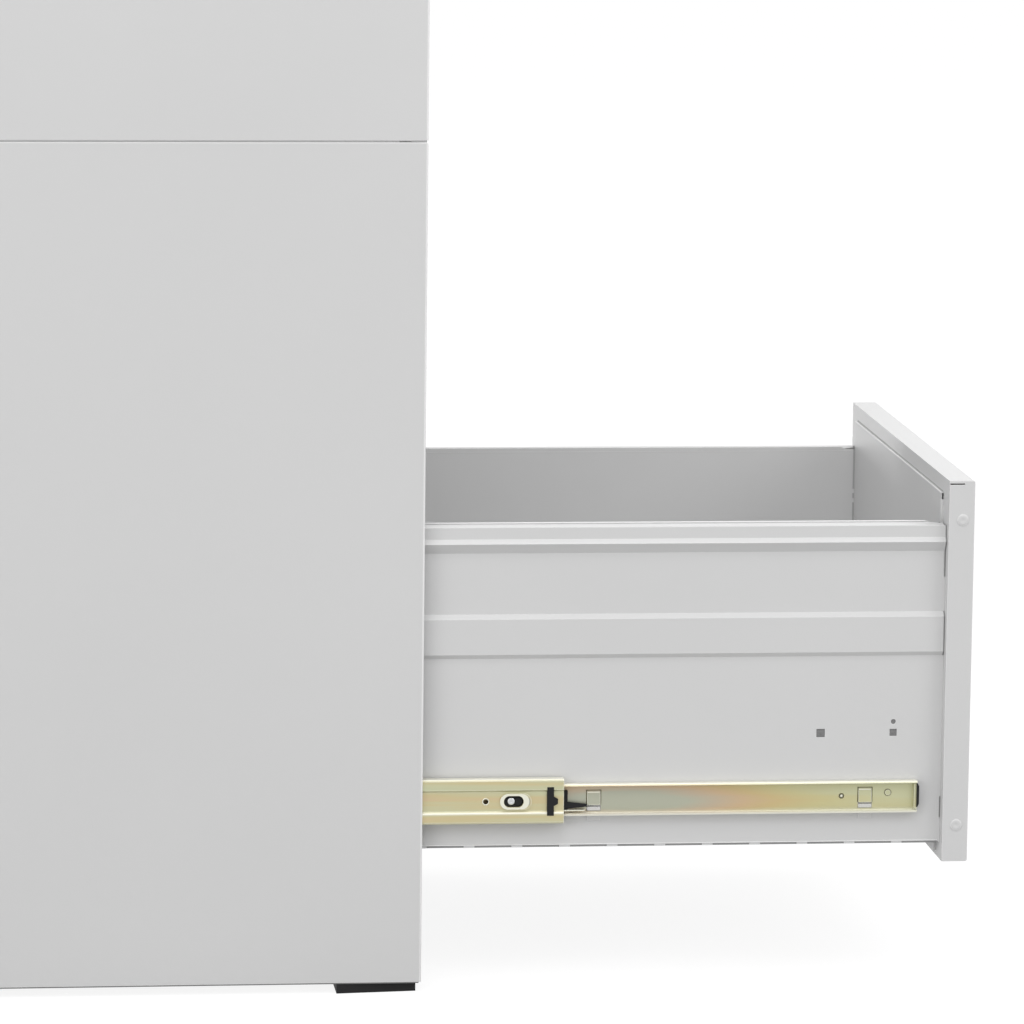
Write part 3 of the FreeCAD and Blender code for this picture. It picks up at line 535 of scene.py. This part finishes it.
# %% Mix the small finishes
# Each finish: its name, colour, metal, roughness, grains to the metre, their depth and its shine
small_plan = (
    ("zinc_steel", (0.60, 0.61, 0.62), 1.0, 0.34, 600.0, 0.00002, 0.5),
    ("black_plastic", (0.012, 0.012, 0.013), 0.0, 0.62, 1500.0, 0.00004, 0.25),
    ("grey_plastic", (0.42, 0.42, 0.43), 0.0, 0.5, 1500.0, 0.00004, 0.5),
    ("chrome", (0.78, 0.78, 0.79), 1.0, 0.09, 300.0, 0.00001, 0.5),
    # The next four are dull tones of painted shade for gaps, holes, seams and cut outlines
    ("gap_shade", grey(0.33), 0.0, 0.9, 900.0, 0.00002, 0.1),
    ("insert_grey", grey(0.22), 0.0, 0.7, 900.0, 0.00003, 0.2),
    ("joint_grey", grey(0.46), 0.0, 0.8, 900.0, 0.00002, 0.2),
    ("chromated_steel_shade", (0.17, 0.16, 0.09), 0.3, 0.6, 900.0, 0.00002, 0.3),
)
small_finishes = [fine_finish(*row) for row in small_plan]
zinc, black_plastic, grey_plastic, chrome = small_finishes[:4]
gap_shade, insert_grey, joint_grey, film_shade = small_finishes[4:]
print("finishes:", [finish.name for finish in small_finishes])

# %% [markdown]
# ## A finish for every piece
# Most of a filing cabinet is painted sheet, so paint is the rule and the rest are exceptions.
# Materials could be chosen piece by piece. The last word of each name already says what the piece
# is, so one small table covers all four drawers.

# %% Give every piece its finish
finish_of_word = {
    "rails": chromate,
    "bumpers": black_plastic,
    "levers": black_plastic,
    "pads": black_plastic,
    "handle": grey_plastic,
    "screws": zinc,
    "housing": chrome,
    "rod": chrome,
    "bar": zinc,
    "hooks": zinc,
}


def finish_for(name):
    """The finish that a piece's name calls for; every sheet is painted."""
    if name == "cross_rails":
        return paint
    if name.endswith("drawer_rails"):
        return rainbow
    return finish_of_word.get(name.split("_")[-1], paint)


for name, piece in nodes.items():
    piece.data.materials.clear()
    piece.data.materials.append(finish_for(name))
used = sorted({finish_for(name).name for name in nodes})
print("finishes on the model:", used)

# %% [markdown]
# ## Making small parts
# The model holds what carries load. What a close look still misses are the little things: the rim
# of a slot, the head of a rivet, a stud pressed into a corner.
# They could be cut and beveled by hand. Each is built vertex by vertex in bmesh instead, from a few
# shapes that all skin one ring of points to the next: a turned form, an outline pushed to a depth,
# a section drawn out along the drawer, a plan raised to a height, a flat ring, and a wire bent
# round an outline.
# Every form is drawn once for a side of the cabinet, and a sign mirrors it to the other side.

# %% Shapes for small parts
ROUND_STEPS = 24
WIRE_STEPS = 8
SHARP_ANGLE = 40


def finished(bm, name, finish, body):
    """Turns a bmesh into a piece with a finish that moves with a body."""
    bmesh.ops.recalc_face_normals(bm, faces=bm.faces)
    mesh = bpy.data.meshes.new(name)
    bm.to_mesh(mesh)
    bm.free()
    mesh.shade_smooth()
    mesh.set_sharp_from_angle(angle=math.radians(SHARP_ANGLE))
    mesh.materials.append(finish)
    piece = bpy.data.objects.new(name, mesh)
    bpy.context.scene.collection.objects.link(piece)
    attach(piece, body)
    return piece


def both_sides(draw, name, finish, body):
    """One piece from the same drawing at the left (-1) and at the right (+1)."""
    bm = bmesh.new()
    for side in (-1, 1):
        draw(bm, side)
    return finished(bm, name, finish, body)


def joined(bm, rings, around=False):
    """Skins rings of points one to the next, and fills the two ends unless the rings go around."""
    made = [[bm.verts.new(point) for point in ring] for ring in rings]
    following = made[1:] + made[:1] if around else made[1:]
    for ring, after in zip(made, following):
        for i in range(len(ring)):
            k = (i + 1) % len(ring)
            bm.faces.new((ring[i], ring[k], after[k], after[i]))
    if not around:
        bm.faces.new(made[0][::-1])
        bm.faces.new(made[-1])


def pushed(bm, outline, near, far):
    """Outline in Y and Z between two depths in X."""
    joined(bm, [[(x, y, z) for y, z in outline] for x in (near, far)])


def drawn_out(bm, section, front, back):
    """Section in X and Z, drawn along Y."""
    joined(bm, [[(x, y, z) for x, z in section] for y in (front, back)])


def raised(bm, plan, foot, head):
    """Plan in X and Y between two heights."""
    joined(bm, [[(x, y, z) for x, y in plan] for z in (foot, head)])


print("shapes ready:", ROUND_STEPS, "steps to a round,", WIRE_STEPS, "to a wire")

# %% Round shapes


def circle(radius, steps):
    """Points of a circle about the origin, as pairs."""
    angles = [2 * math.pi * (i + 0.5) / steps for i in range(steps)]
    return [(radius * math.cos(angle), radius * math.sin(angle)) for angle in angles]


def turned(bm, x, y, z, profile):
    """Round form on an axis along X, from radii and how far along X each lies."""
    rings = []
    for radius, shift in profile:
        rings.append([(x + shift, y + a, z + b) for a, b in circle(radius, ROUND_STEPS)])
    joined(bm, rings)


def facing(shares, radius, side):
    """Profile for one side, from shares of a radius and rises in millimetres."""
    return [(radius * share, side * rise * MM) for share, rise in shares]


def bead(bm, x, z, radius, front, back):
    """Thin round bead along Y."""
    drawn_out(bm, [(x + a, z + b) for a, b in circle(radius, WIRE_STEPS)], front, back)


def oval(y, z, length, height, steps=ROUND_STEPS):
    """Outline with round ends, longer along Y."""
    straight = (length - height) / 2
    outline = []
    for a, b in circle(height / 2, steps):
        outline.append((y + math.copysign(straight, a) + a, z + b))
    return outline


def rectangle(low_y, high_y, low_z, high_z):
    """Outline with four corners."""
    return [(low_y, low_z), (high_y, low_z), (high_y, high_z), (low_y, high_z)]


def bent_wire(bm, outline, x, radius):
    """Round wire laid along a closed outline at one depth in X."""
    points = [Vector((0.0, y, z)) for y, z in outline]
    sections = []
    for i, point in enumerate(points):
        along = (points[(i + 1) % len(points)] - points[i - 1]).normalized()
        outward = Vector((0.0, along.z, -along.y))
        section = []
        for a, b in circle(radius, WIRE_STEPS):
            place = point + outward * a
            section.append((x + b, place.y, place.z))
        sections.append(section)
    joined(bm, sections, around=True)


def flat_ring(bm, outer, inner, near, far):
    """Ring between two outlines of as many points, between two depths in X."""
    rings = []
    for outline, x in ((outer, near), (outer, far), (inner, far), (inner, near)):
        rings.append([(x, y, z) for y, z in outline])
    joined(bm, rings, around=True)


print("round shapes ready, with", len(circle(1.0, ROUND_STEPS)), "points to a circle")

# %% [markdown]
# ## The middle rails' slots and holes
# Near its front end each middle rail has an oval slot with a pressed rim, painted pale as a
# highlight. Behind it sits a black plate with a rivet, and beside it a small curved nick, dark with
# painted shade; the round hole next to it has a thin collar, pressed up when the hole was punched
# and painted pale as a highlight.
# A rim could be a bevel on the rail itself, but the slot is already cut in the model. These pieces
# only fill and edge it, so they take their places from the rail's own box.

# %% Measures of the slots
slot_from_front = 39.0 * MM
slot_length = 15.5 * MM
slot_height = 9.2 * MM
slot_steps = 32
rail_face_in = 0.3 * MM
plate_spare = 0.4 * MM
plate_depth = 2.75 * MM
plate_thick = 0.35 * MM
rivet_shift = 1.9 * MM
rivet_radius = 2.8 * MM
rivet_profile = ((1.0, 0.0), (1.0, 0.5), (0.8, 0.95), (0.45, 1.0), (0.25, 0.85), (0.18, 0.45))
stop_shift = -3.6 * MM
stop_profile = ((3.3, 0.0), (3.0, 1.0))
rim_shift = -0.7 * MM
rim_length = 22.9 * MM
rim_height = 12.2 * MM
rim_thick = 0.25 * MM
band_depth = 1.5 * MM
hole_from_front = 60.7 * MM
hole_width = 4.4 * MM
collar_wire = 0.5 * MM
nick_from_slot = 12.7 * MM
nick_half = 3.6 * MM
nick_bow = 1.2 * MM
nick_width = 0.8 * MM
nick_steps = 4
nick_sink = 0.1 * MM
nick_proud = 0.08 * MM
print(f"slot {slot_length / MM:.1f} mm long, its rim {rim_length / MM:.1f} mm")

# %% Fill the slots of the middle rails
for n in drawers:
    low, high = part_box(f"drawer_{n}_middle_rails")
    slot_y = low[1] + slot_from_front
    axis = (low[2] + high[2]) / 2
    outer = high[0]
    plate = outer - plate_depth
    face = outer - rail_face_in
    body = f"drawer_{n}_middle"

    def slot_plate(bm, side):
        opening = oval(slot_y, axis, slot_length + plate_spare, slot_height + plate_spare)
        pushed(bm, opening, side * plate, side * (plate + plate_thick))
        turned(bm, side * plate, slot_y + stop_shift, axis, facing(stop_profile, MM, side))

    def rivet_head(bm, side):
        profile = facing(rivet_profile, rivet_radius, side)
        turned(bm, side * (plate + plate_thick), slot_y + rivet_shift, axis, profile)

    def rims(bm, side):
        edge = oval(slot_y + rim_shift, axis, rim_length, rim_height, slot_steps)
        hole = oval(slot_y, axis, slot_length, slot_height, slot_steps)
        flat_ring(bm, edge, hole, side * (face - rim_thick), side * (face + rim_thick))
        width = hole_width + collar_wire
        collar = oval(low[1] + hole_from_front, axis, width, width)
        bent_wire(bm, collar, side * (outer - band_depth), collar_wire)

    def nick(bm, side):
        bow = []
        for step in range(-nick_steps, nick_steps + 1):
            share = step / nick_steps
            bow.append((slot_y - nick_from_slot + nick_bow * share ** 2, axis + nick_half * share))
        inner = []
        for y, z in bow[1:-1]:
            share = (z - axis) / nick_half
            inner.append((y + nick_width * (1 - share ** 2), z))
        pushed(bm, bow + inner[::-1], side * (face - nick_sink), side * (face + nick_proud))

    both_sides(slot_plate, f"drawer_{n}_slot_plates", black_plastic, body)
    both_sides(rivet_head, f"drawer_{n}_slot_rivets", zinc, body)
    # Rims and collars are painted highlight; the nicks are painted shade.
    both_sides(rims, f"drawer_{n}_slot_rims", highlight_chromate, body)
    both_sides(nick, f"drawer_{n}_slot_nicks", gap_shade, body)
print("slots filled on", len(drawers), "pairs of middle rails")

# %% [markdown]
# ## The drawer rails' front ends
# A thin black pad closes the front end of each drawer rail, so that the balls can't run out and the
# drawer lands softly. On the web, a rivet and a punched hole show as heads in a dark ring, and two
# tabs are cut out on three sides, with a dark outline. The lever rests on a narrow shelf. The
# heads, a bar in each tab and the shelf are painted pale as a highlight, and the rings and outlines
# are painted shade.
# A dark line could be painted on with a mask. A thin raised wire or bar does the same from every
# side and needs no map, and it hides the joint between the bright head and the rail.

# %% Measures of the rail ends
web_depth = 6.5 * MM
pad_depth = 6.8 * MM
pad_lap = 0.4 * MM
pad_thick = 1.4 * MM
pad_up = 10.9 * MM
pad_down = 8.4 * MM
pad_cut = 2.6 * MM
rivet_from_front = 22.3 * MM
rivet_up = 2.4 * MM
punch_from_front = 58.7 * MM
ring_sizes = (4.9 * MM, 3.6 * MM)
ring_wire = 0.4 * MM
head_profile = ((1.2, 0.0), (1.2, 1.5), (0.8, 1.9), (0.2, 1.95))
head_sink = 1.5 * MM
tab_places = (40.2 * MM, 252.8 * MM)
tab_half = 5.9 * MM
tab_line = 0.55 * MM
tab_down = 4.9 * MM
tab_up = 6.9 * MM
line_foot = 0.05 * MM
line_top = 0.25 * MM
bar_foot = 2.4 * MM
bar_top = 1.4 * MM
bar_half = 0.2 * MM
shelf_length = 16.5 * MM
shelf_drop = 8.6 * MM
shelf_thick = 0.8 * MM
shelf_in = 0.9 * MM
print(f"end pad {pad_thick / MM:.1f} mm thick, tabs {2 * tab_half / MM:.1f} mm wide")

# %% Close the drawer rails
for n in drawers:
    low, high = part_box(f"drawer_{n}_drawer_rails")
    _, lever_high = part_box(f"drawer_{n}_release_levers")
    front = low[1]
    axis = (low[2] + high[2]) / 2
    mouth = high[0]
    web = mouth - web_depth
    tab_top = axis + tab_up
    body = f"drawer_{n}"
    marks = ((front + rivet_from_front, axis + rivet_up), (front + punch_from_front, axis))

    def end_pad(bm, side):
        nose = front - pad_thick
        outline = [
            (front + pad_lap, axis - pad_down),
            (front, axis - pad_down),
            (nose, axis - pad_down + pad_cut),
            (nose, axis + pad_up - pad_cut),
            (front, axis + pad_up),
            (front + pad_lap, axis + pad_up),
        ]
        pushed(bm, outline, side * (mouth - pad_lap), side * (mouth - pad_depth))

    def dark_lines(bm, side):
        near, far = side * (web + line_foot), side * (web + line_top)
        for (y, z), size in zip(marks, ring_sizes):
            bent_wire(bm, oval(y, z, size, size), near, ring_wire)
        for place in tab_places:
            start, stop = front + place - tab_half, front + place + tab_half
            foot = axis - tab_down
            pushed(bm, rectangle(start, start + tab_line, foot, tab_top), near, far)
            pushed(bm, rectangle(stop - tab_line, stop, foot, tab_top), near, far)
            pushed(bm, rectangle(start, stop, tab_top - tab_line, tab_top), near, far)

    def heads(bm, side):
        for y, z in marks:
            turned(bm, side * (web - head_sink), y, z, facing(head_profile, MM, side))
        for place in tab_places:
            middle, half = front + place, tab_half - 2 * tab_line
            bar = rectangle(middle - half, middle + half, tab_top - bar_foot, tab_top - bar_top)
            pushed(bm, bar, side * (web - bar_half), side * (web + bar_half))

    def shelf(bm, side):
        end, foot = lever_high[1], axis - shelf_drop
        outline = rectangle(end - shelf_length, end, foot, foot + shelf_thick)
        pushed(bm, outline, side * (mouth - shelf_in), side * web)

    both_sides(end_pad, f"drawer_{n}_rail_end_pads", black_plastic, body)
    # Dark rings and tab outlines are painted shade; heads, tab bars and shelves are painted
    # highlight.
    both_sides(dark_lines, f"drawer_{n}_rail_marks", film_shade, body)
    both_sides(heads, f"drawer_{n}_rail_heads", highlight_chromate, body)
    both_sides(shelf, f"drawer_{n}_lever_shelves", highlight_chromate, body)
print("rail ends closed on", len(drawers), "drawers")

# %% [markdown]
# ## The drawer walls' edges
# Each wall is a folded box of thin sheet. Its inner skin ends in a low hemmed lip above the rim,
# the front end stops a hair short of the drawer's front, and along the foot the floor is clinched
# in through a row of notches, under a rolled bead.
# Notches that open on the inside of a hollow wall look pitch black in a picture, but a real one is
# grey, because paint inside it throws some light back. A strip of dull grey, painted shade, stands
# just inside each opening and does the same, and grey plugs of painted shade fill the small square
# and round holes. The beads along the lip and the foot are painted lighter as a highlight.

# %% Measures of the drawer walls
skin_over = 0.02 * MM
wall_deep = 14.8 * MM
lip_thick = 0.9 * MM
lip_rise = 1.4 * MM
lip_low = 2.1 * MM
lip_step = 0.9 * MM
lip_from_front = 0.3 * MM
lip_setback = 12.6 * MM
lip_lead = 1.5 * MM
# The lip's front corner: along from its setback and up from the rim, in millimetres
lip_corner = ((-2.0, -0.9), (-1.2, 0.0), (0.0, 0.9), (1.5, 1.4))
lip_bead = 0.5 * MM
foot_bead = 0.45 * MM
foot_bead_from_front = 2.0 * MM
# The closer and the dark gap at the wall's front end: how far in, how thick, and along the drawer
closer_thick = 0.8 * MM
closer_span = (0.9 * MM, 2.1 * MM)
gap_in = 0.6 * MM
gap_thick = 0.3 * MM
gap_span = (0.1 * MM, 0.9 * MM)
notch_pitch = 37.2 * MM
notch_length = 28.9 * MM
notch_first = 1.0 * MM
notch_height = 1.6 * MM
notch_spare = 0.2 * MM
notch_foot = 0.1 * MM
notch_depths = (0.2 * MM, 0.9 * MM)
joint_from_front = 2.05 * MM
joint_width = 1.4 * MM
joint_thick = 0.3 * MM
joint_spans = ((6.0, 205.0), (208.5, 213.0), (216.5, 250.9))
plugs_from_front = 38.4 * MM
plugs_up = 87.8 * MM
# Square plugs: along from the first one, and width, in millimetres
plugs = ((0.0, 5.4), (57.0, 6.4))
plug_depths = (0.35 * MM, 0.9 * MM)
boss_depth = 0.4 * MM
boss_profile = ((0.26, 0.0), (0.18, 0.25))
round_plug_up = 8.6 * MM
round_plug_profile = ((1.9, 0.0), (1.9, 0.5))
# Outside of the wall below its rim: out from the face, down from the rim, in millimetres
wall_profile = (
    (2.7, 0.3), (2.7, 9.2), (5.7, 12.6), (0.0, 20.5), (0.0, 68.0),
    (3.0, 71.5), (3.0, 99.1), (0.0, 102.6), (0.0, 250.0),
)


def profile_strip(face, rim, inset, thick, side):
    """Section that follows the wall's outside, so far inside it and so thick."""
    outside = []
    inside = []
    for out, down in wall_profile:
        x = face + (out * MM - inset)
        outside.append((side * x, rim - down * MM))
        inside.append((side * (x - thick), rim - down * MM))
    return outside + inside[::-1]


print(f"wall outline of {len(wall_profile)} corners, a notch every {notch_pitch / MM:.1f} mm")

# %% Trim the drawer walls
for n in drawers:
    low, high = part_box(f"drawer_{n}_right_wall")
    front, back = low[1], high[1]
    foot, rim = low[2], high[2]
    skin = low[0]
    face = skin + wall_deep
    body = f"drawer_{n}"

    def lip(bm, side):
        start, turn = front + lip_from_front, front + lip_setback
        outline = [(back, rim - lip_low), (start, rim - lip_low), (start, rim - lip_step)]
        outline += [(turn + along * MM, rim + rise * MM) for along, rise in lip_corner]
        outline.append((back, rim + lip_rise))
        pushed(bm, outline, side * (skin - skin_over), side * (skin + lip_thick))

    def beads(bm, side):
        lip_z = rim + lip_rise - lip_bead
        lip_start = front + lip_setback + lip_lead
        bead(bm, side * (skin + lip_thick), lip_z, lip_bead, lip_start, back)
        foot_z = foot + notch_height + foot_bead
        bead(bm, side * face, foot_z, foot_bead, front + foot_bead_from_front, back)

    def end_closer(bm, side):
        section = profile_strip(face, rim, skin_over, closer_thick, side)
        drawn_out(bm, section, front + closer_span[0], front + closer_span[1])

    def dark_gaps(bm, side):
        section = profile_strip(face, rim, gap_in, gap_thick, side)
        drawn_out(bm, section, front + gap_span[0], front + gap_span[1])
        near, far = (side * (face - depth) for depth in notch_depths)
        for i in range(int((back - front - notch_first) / notch_pitch)):
            start = front + notch_first + i * notch_pitch + notch_spare
            stop = start + notch_length - 2 * notch_spare
            notch = rectangle(start, stop, foot + notch_foot, foot + notch_height)
            pushed(bm, notch, near, far)

    def joints(bm, side):
        near, far = side * (skin - 2 * skin_over), side * (skin + joint_thick)
        begin = front + joint_from_front
        for start, stop in joint_spans:
            joint = rectangle(begin, begin + joint_width, foot + start * MM, foot + stop * MM)
            pushed(bm, joint, near, far)

    def inserts(bm, side):
        first, height = front + plugs_from_front, foot + plugs_up
        near, far = (side * (face - depth) for depth in plug_depths)
        for along, width in plugs:
            y, half = first + along * MM, width / 2 * MM
            pushed(bm, rectangle(y - half, y + half, height - half, height + half), near, far)
            boss = facing(boss_profile, width * MM, side)
            turned(bm, side * (face - boss_depth), y, height, boss)
        turned(bm, far, first, height + round_plug_up, facing(round_plug_profile, MM, side))

    # Beads are painted highlight; the gaps, joints and plugs are painted shade.
    both_sides(lip, f"drawer_{n}_wall_lips", paint, body)
    both_sides(beads, f"drawer_{n}_wall_beads", highlight_paint, body)
    both_sides(end_closer, f"drawer_{n}_wall_ends", paint, body)
    both_sides(dark_gaps, f"drawer_{n}_wall_gaps", gap_shade, body)
    both_sides(joints, f"drawer_{n}_wall_joints", joint_grey, body)
    both_sides(inserts, f"drawer_{n}_wall_inserts", insert_grey, body)
print("walls trimmed on", len(drawers), "drawers")

# %% [markdown]
# ## The fronts' studs and the liner's edge
# Four domed studs close the ends of each front, and the liner behind it is folded over at the top,
# which leaves an edge painted lighter as a highlight, with a grey joint of painted shade above it.
# A dome can be a sphere sunk into the sheet. Turning its profile keeps the edge crisp and leaves
# room for the small dimple that the tool has pressed into the middle.

# %% Dress the fronts
stud_radius = 4.9 * MM
stud_from_back = 10.8 * MM
stud_heights = (29.0 * MM, 269.0 * MM)
stud_profile = ((0.95, 0.0), (0.88, 0.45), (0.66, 0.7), (0.44, 0.74), (0.3, 0.6), (0.1, 0.3))
front_end = 227.0 * MM
liner_half = 201.3 * MM
liner_bead = 0.6 * MM
liner_bead_in = 0.3 * MM
liner_bead_down = 0.35 * MM
# The joint above the liner: along the drawer from the front's back, and up from the liner
liner_joint_span = (-0.2 * MM, 0.1 * MM)
liner_joint_rise = (0.1 * MM, 0.9 * MM)

for n in drawers:
    low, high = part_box(f"drawer_{n}_front")
    _, liner_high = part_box(f"drawer_{n}_front_liner")
    body = f"drawer_{n}"

    def studs(bm, side):
        profile = facing(stud_profile, stud_radius, side)
        for up_from_foot in stud_heights:
            turned(bm, side * front_end, high[1] - stud_from_back, low[2] + up_from_foot, profile)

    def liner_edge(bm, side):
        y, z = liner_high[1] - liner_bead_in, liner_high[2] - liner_bead_down
        edge = [(y + a, z + b) for a, b in circle(liner_bead, WIRE_STEPS)]
        pushed(bm, edge, 0.0, side * liner_half)

    def liner_joint(bm, side):
        start, stop = (high[1] + along for along in liner_joint_span)
        joint_foot, joint_top = (liner_high[2] + rise for rise in liner_joint_rise)
        pushed(bm, rectangle(start, stop, joint_foot, joint_top), 0.0, side * liner_half)

    both_sides(studs, f"drawer_{n}_front_studs", paint, body)
    # The liner's edge is painted highlight and the joint above it painted shade.
    both_sides(liner_edge, f"drawer_{n}_liner_edge", highlight_paint, body)
    both_sides(liner_joint, f"drawer_{n}_liner_joint", joint_grey, body)
print("fronts dressed on", len(drawers), "drawers")

# %% [markdown]
# ## The cabinet's seam and edges
# The side is two sheets, one standing on the other with a fine groove between them. The groove runs
# out through the hemmed front edge, where the hems nearly meet. The front edge itself is a round
# fold, painted lighter as a highlight where it would catch the light, and under each side a thin
# dark strip of painted shade stands for the shade beneath the cut edge.
# The folds could be modelled in the sheets. They are thin trim here: two plain sections drawn along
# the side, and a round one raised along the edge.

# %% Measures of the seam and the edges
side_face = 229.98 * MM
side_skin = 228.2 * MM
hem_from_front = 0.3 * MM
hem_length = 12.2 * MM
seam_open = 1.5 * MM
seam_low = 0.6 * MM
# Sections of the hems' ends: outward place, and rise from the seam in millimetres
hem_under = (
    (side_face, -0.7), (side_face, -0.6), (side_face - seam_low, 0.0),
    (side_skin, 0.0), (side_skin, -0.7),
)
hem_over = (
    (side_skin, 0.05), (side_face - seam_open, 0.05), (side_face, 1.5),
    (side_face, 1.6), (side_skin, 1.6),
)
strip_thick = 0.9 * MM
strip_in = 0.2 * MM
strip_short = 1.0 * MM
fold_radius = 0.95 * MM
lower_low, lower_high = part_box("side_lower_right")
upper_low, upper_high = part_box("side_upper_right")
edge_y = lower_low[1]
side_foot = lower_low[2]
seam_z = upper_low[2]
print("seam at", round(seam_z, 4), "m, lower edge at", round(side_foot, 4), "m")

# %% Close the seam and the edges


def hem_closers(bm, side):
    """Ends of the two hems, with the groove left between them."""
    for section in (hem_under, hem_over):
        places = [(side * x, seam_z + rise * MM) for x, rise in section]
        drawn_out(bm, places, edge_y + hem_from_front, edge_y + hem_length)


def front_folds(bm, side):
    """Round folds at the front edge of each sheet."""
    middle = side_face - fold_radius
    plan = [(side * (middle + a), edge_y + b) for a, b in circle(fold_radius, ROUND_STEPS)]
    raised(bm, plan, side_foot, seam_z - seam_low)
    raised(bm, plan, seam_z + seam_open, upper_high[2] - fold_radius)


def lower_strip(bm, side):
    """Dark strip of painted shade under the cut edge of the side."""
    outer, inner = side * (side_face - strip_in), side * side_skin
    under = side_foot - strip_thick
    section = [(outer, side_foot), (inner, side_foot), (inner, under), (outer, under)]
    drawn_out(bm, section, edge_y + strip_short, lower_high[1] - strip_short)


# The front folds are painted highlight and the lower strips painted shade.
trim = (
    both_sides(hem_closers, "side_seam_ends", paint, "cabinet"),
    both_sides(front_folds, "side_front_folds", highlight_paint, "cabinet"),
    both_sides(lower_strip, "side_lower_strips", insert_grey, "cabinet"),
)
print("cabinet trim:", [piece.name for piece in trim])

# %% [markdown]
# ## The last step
# Trim must not make the cabinet larger than it is: a lid, a shelf or a doorway is planned from the
# model's own box.
# The box could be read off in the viewport. The last step only brings the scene up to date.

# %% Bring the scene up to date
bpy.context.view_layer.update()
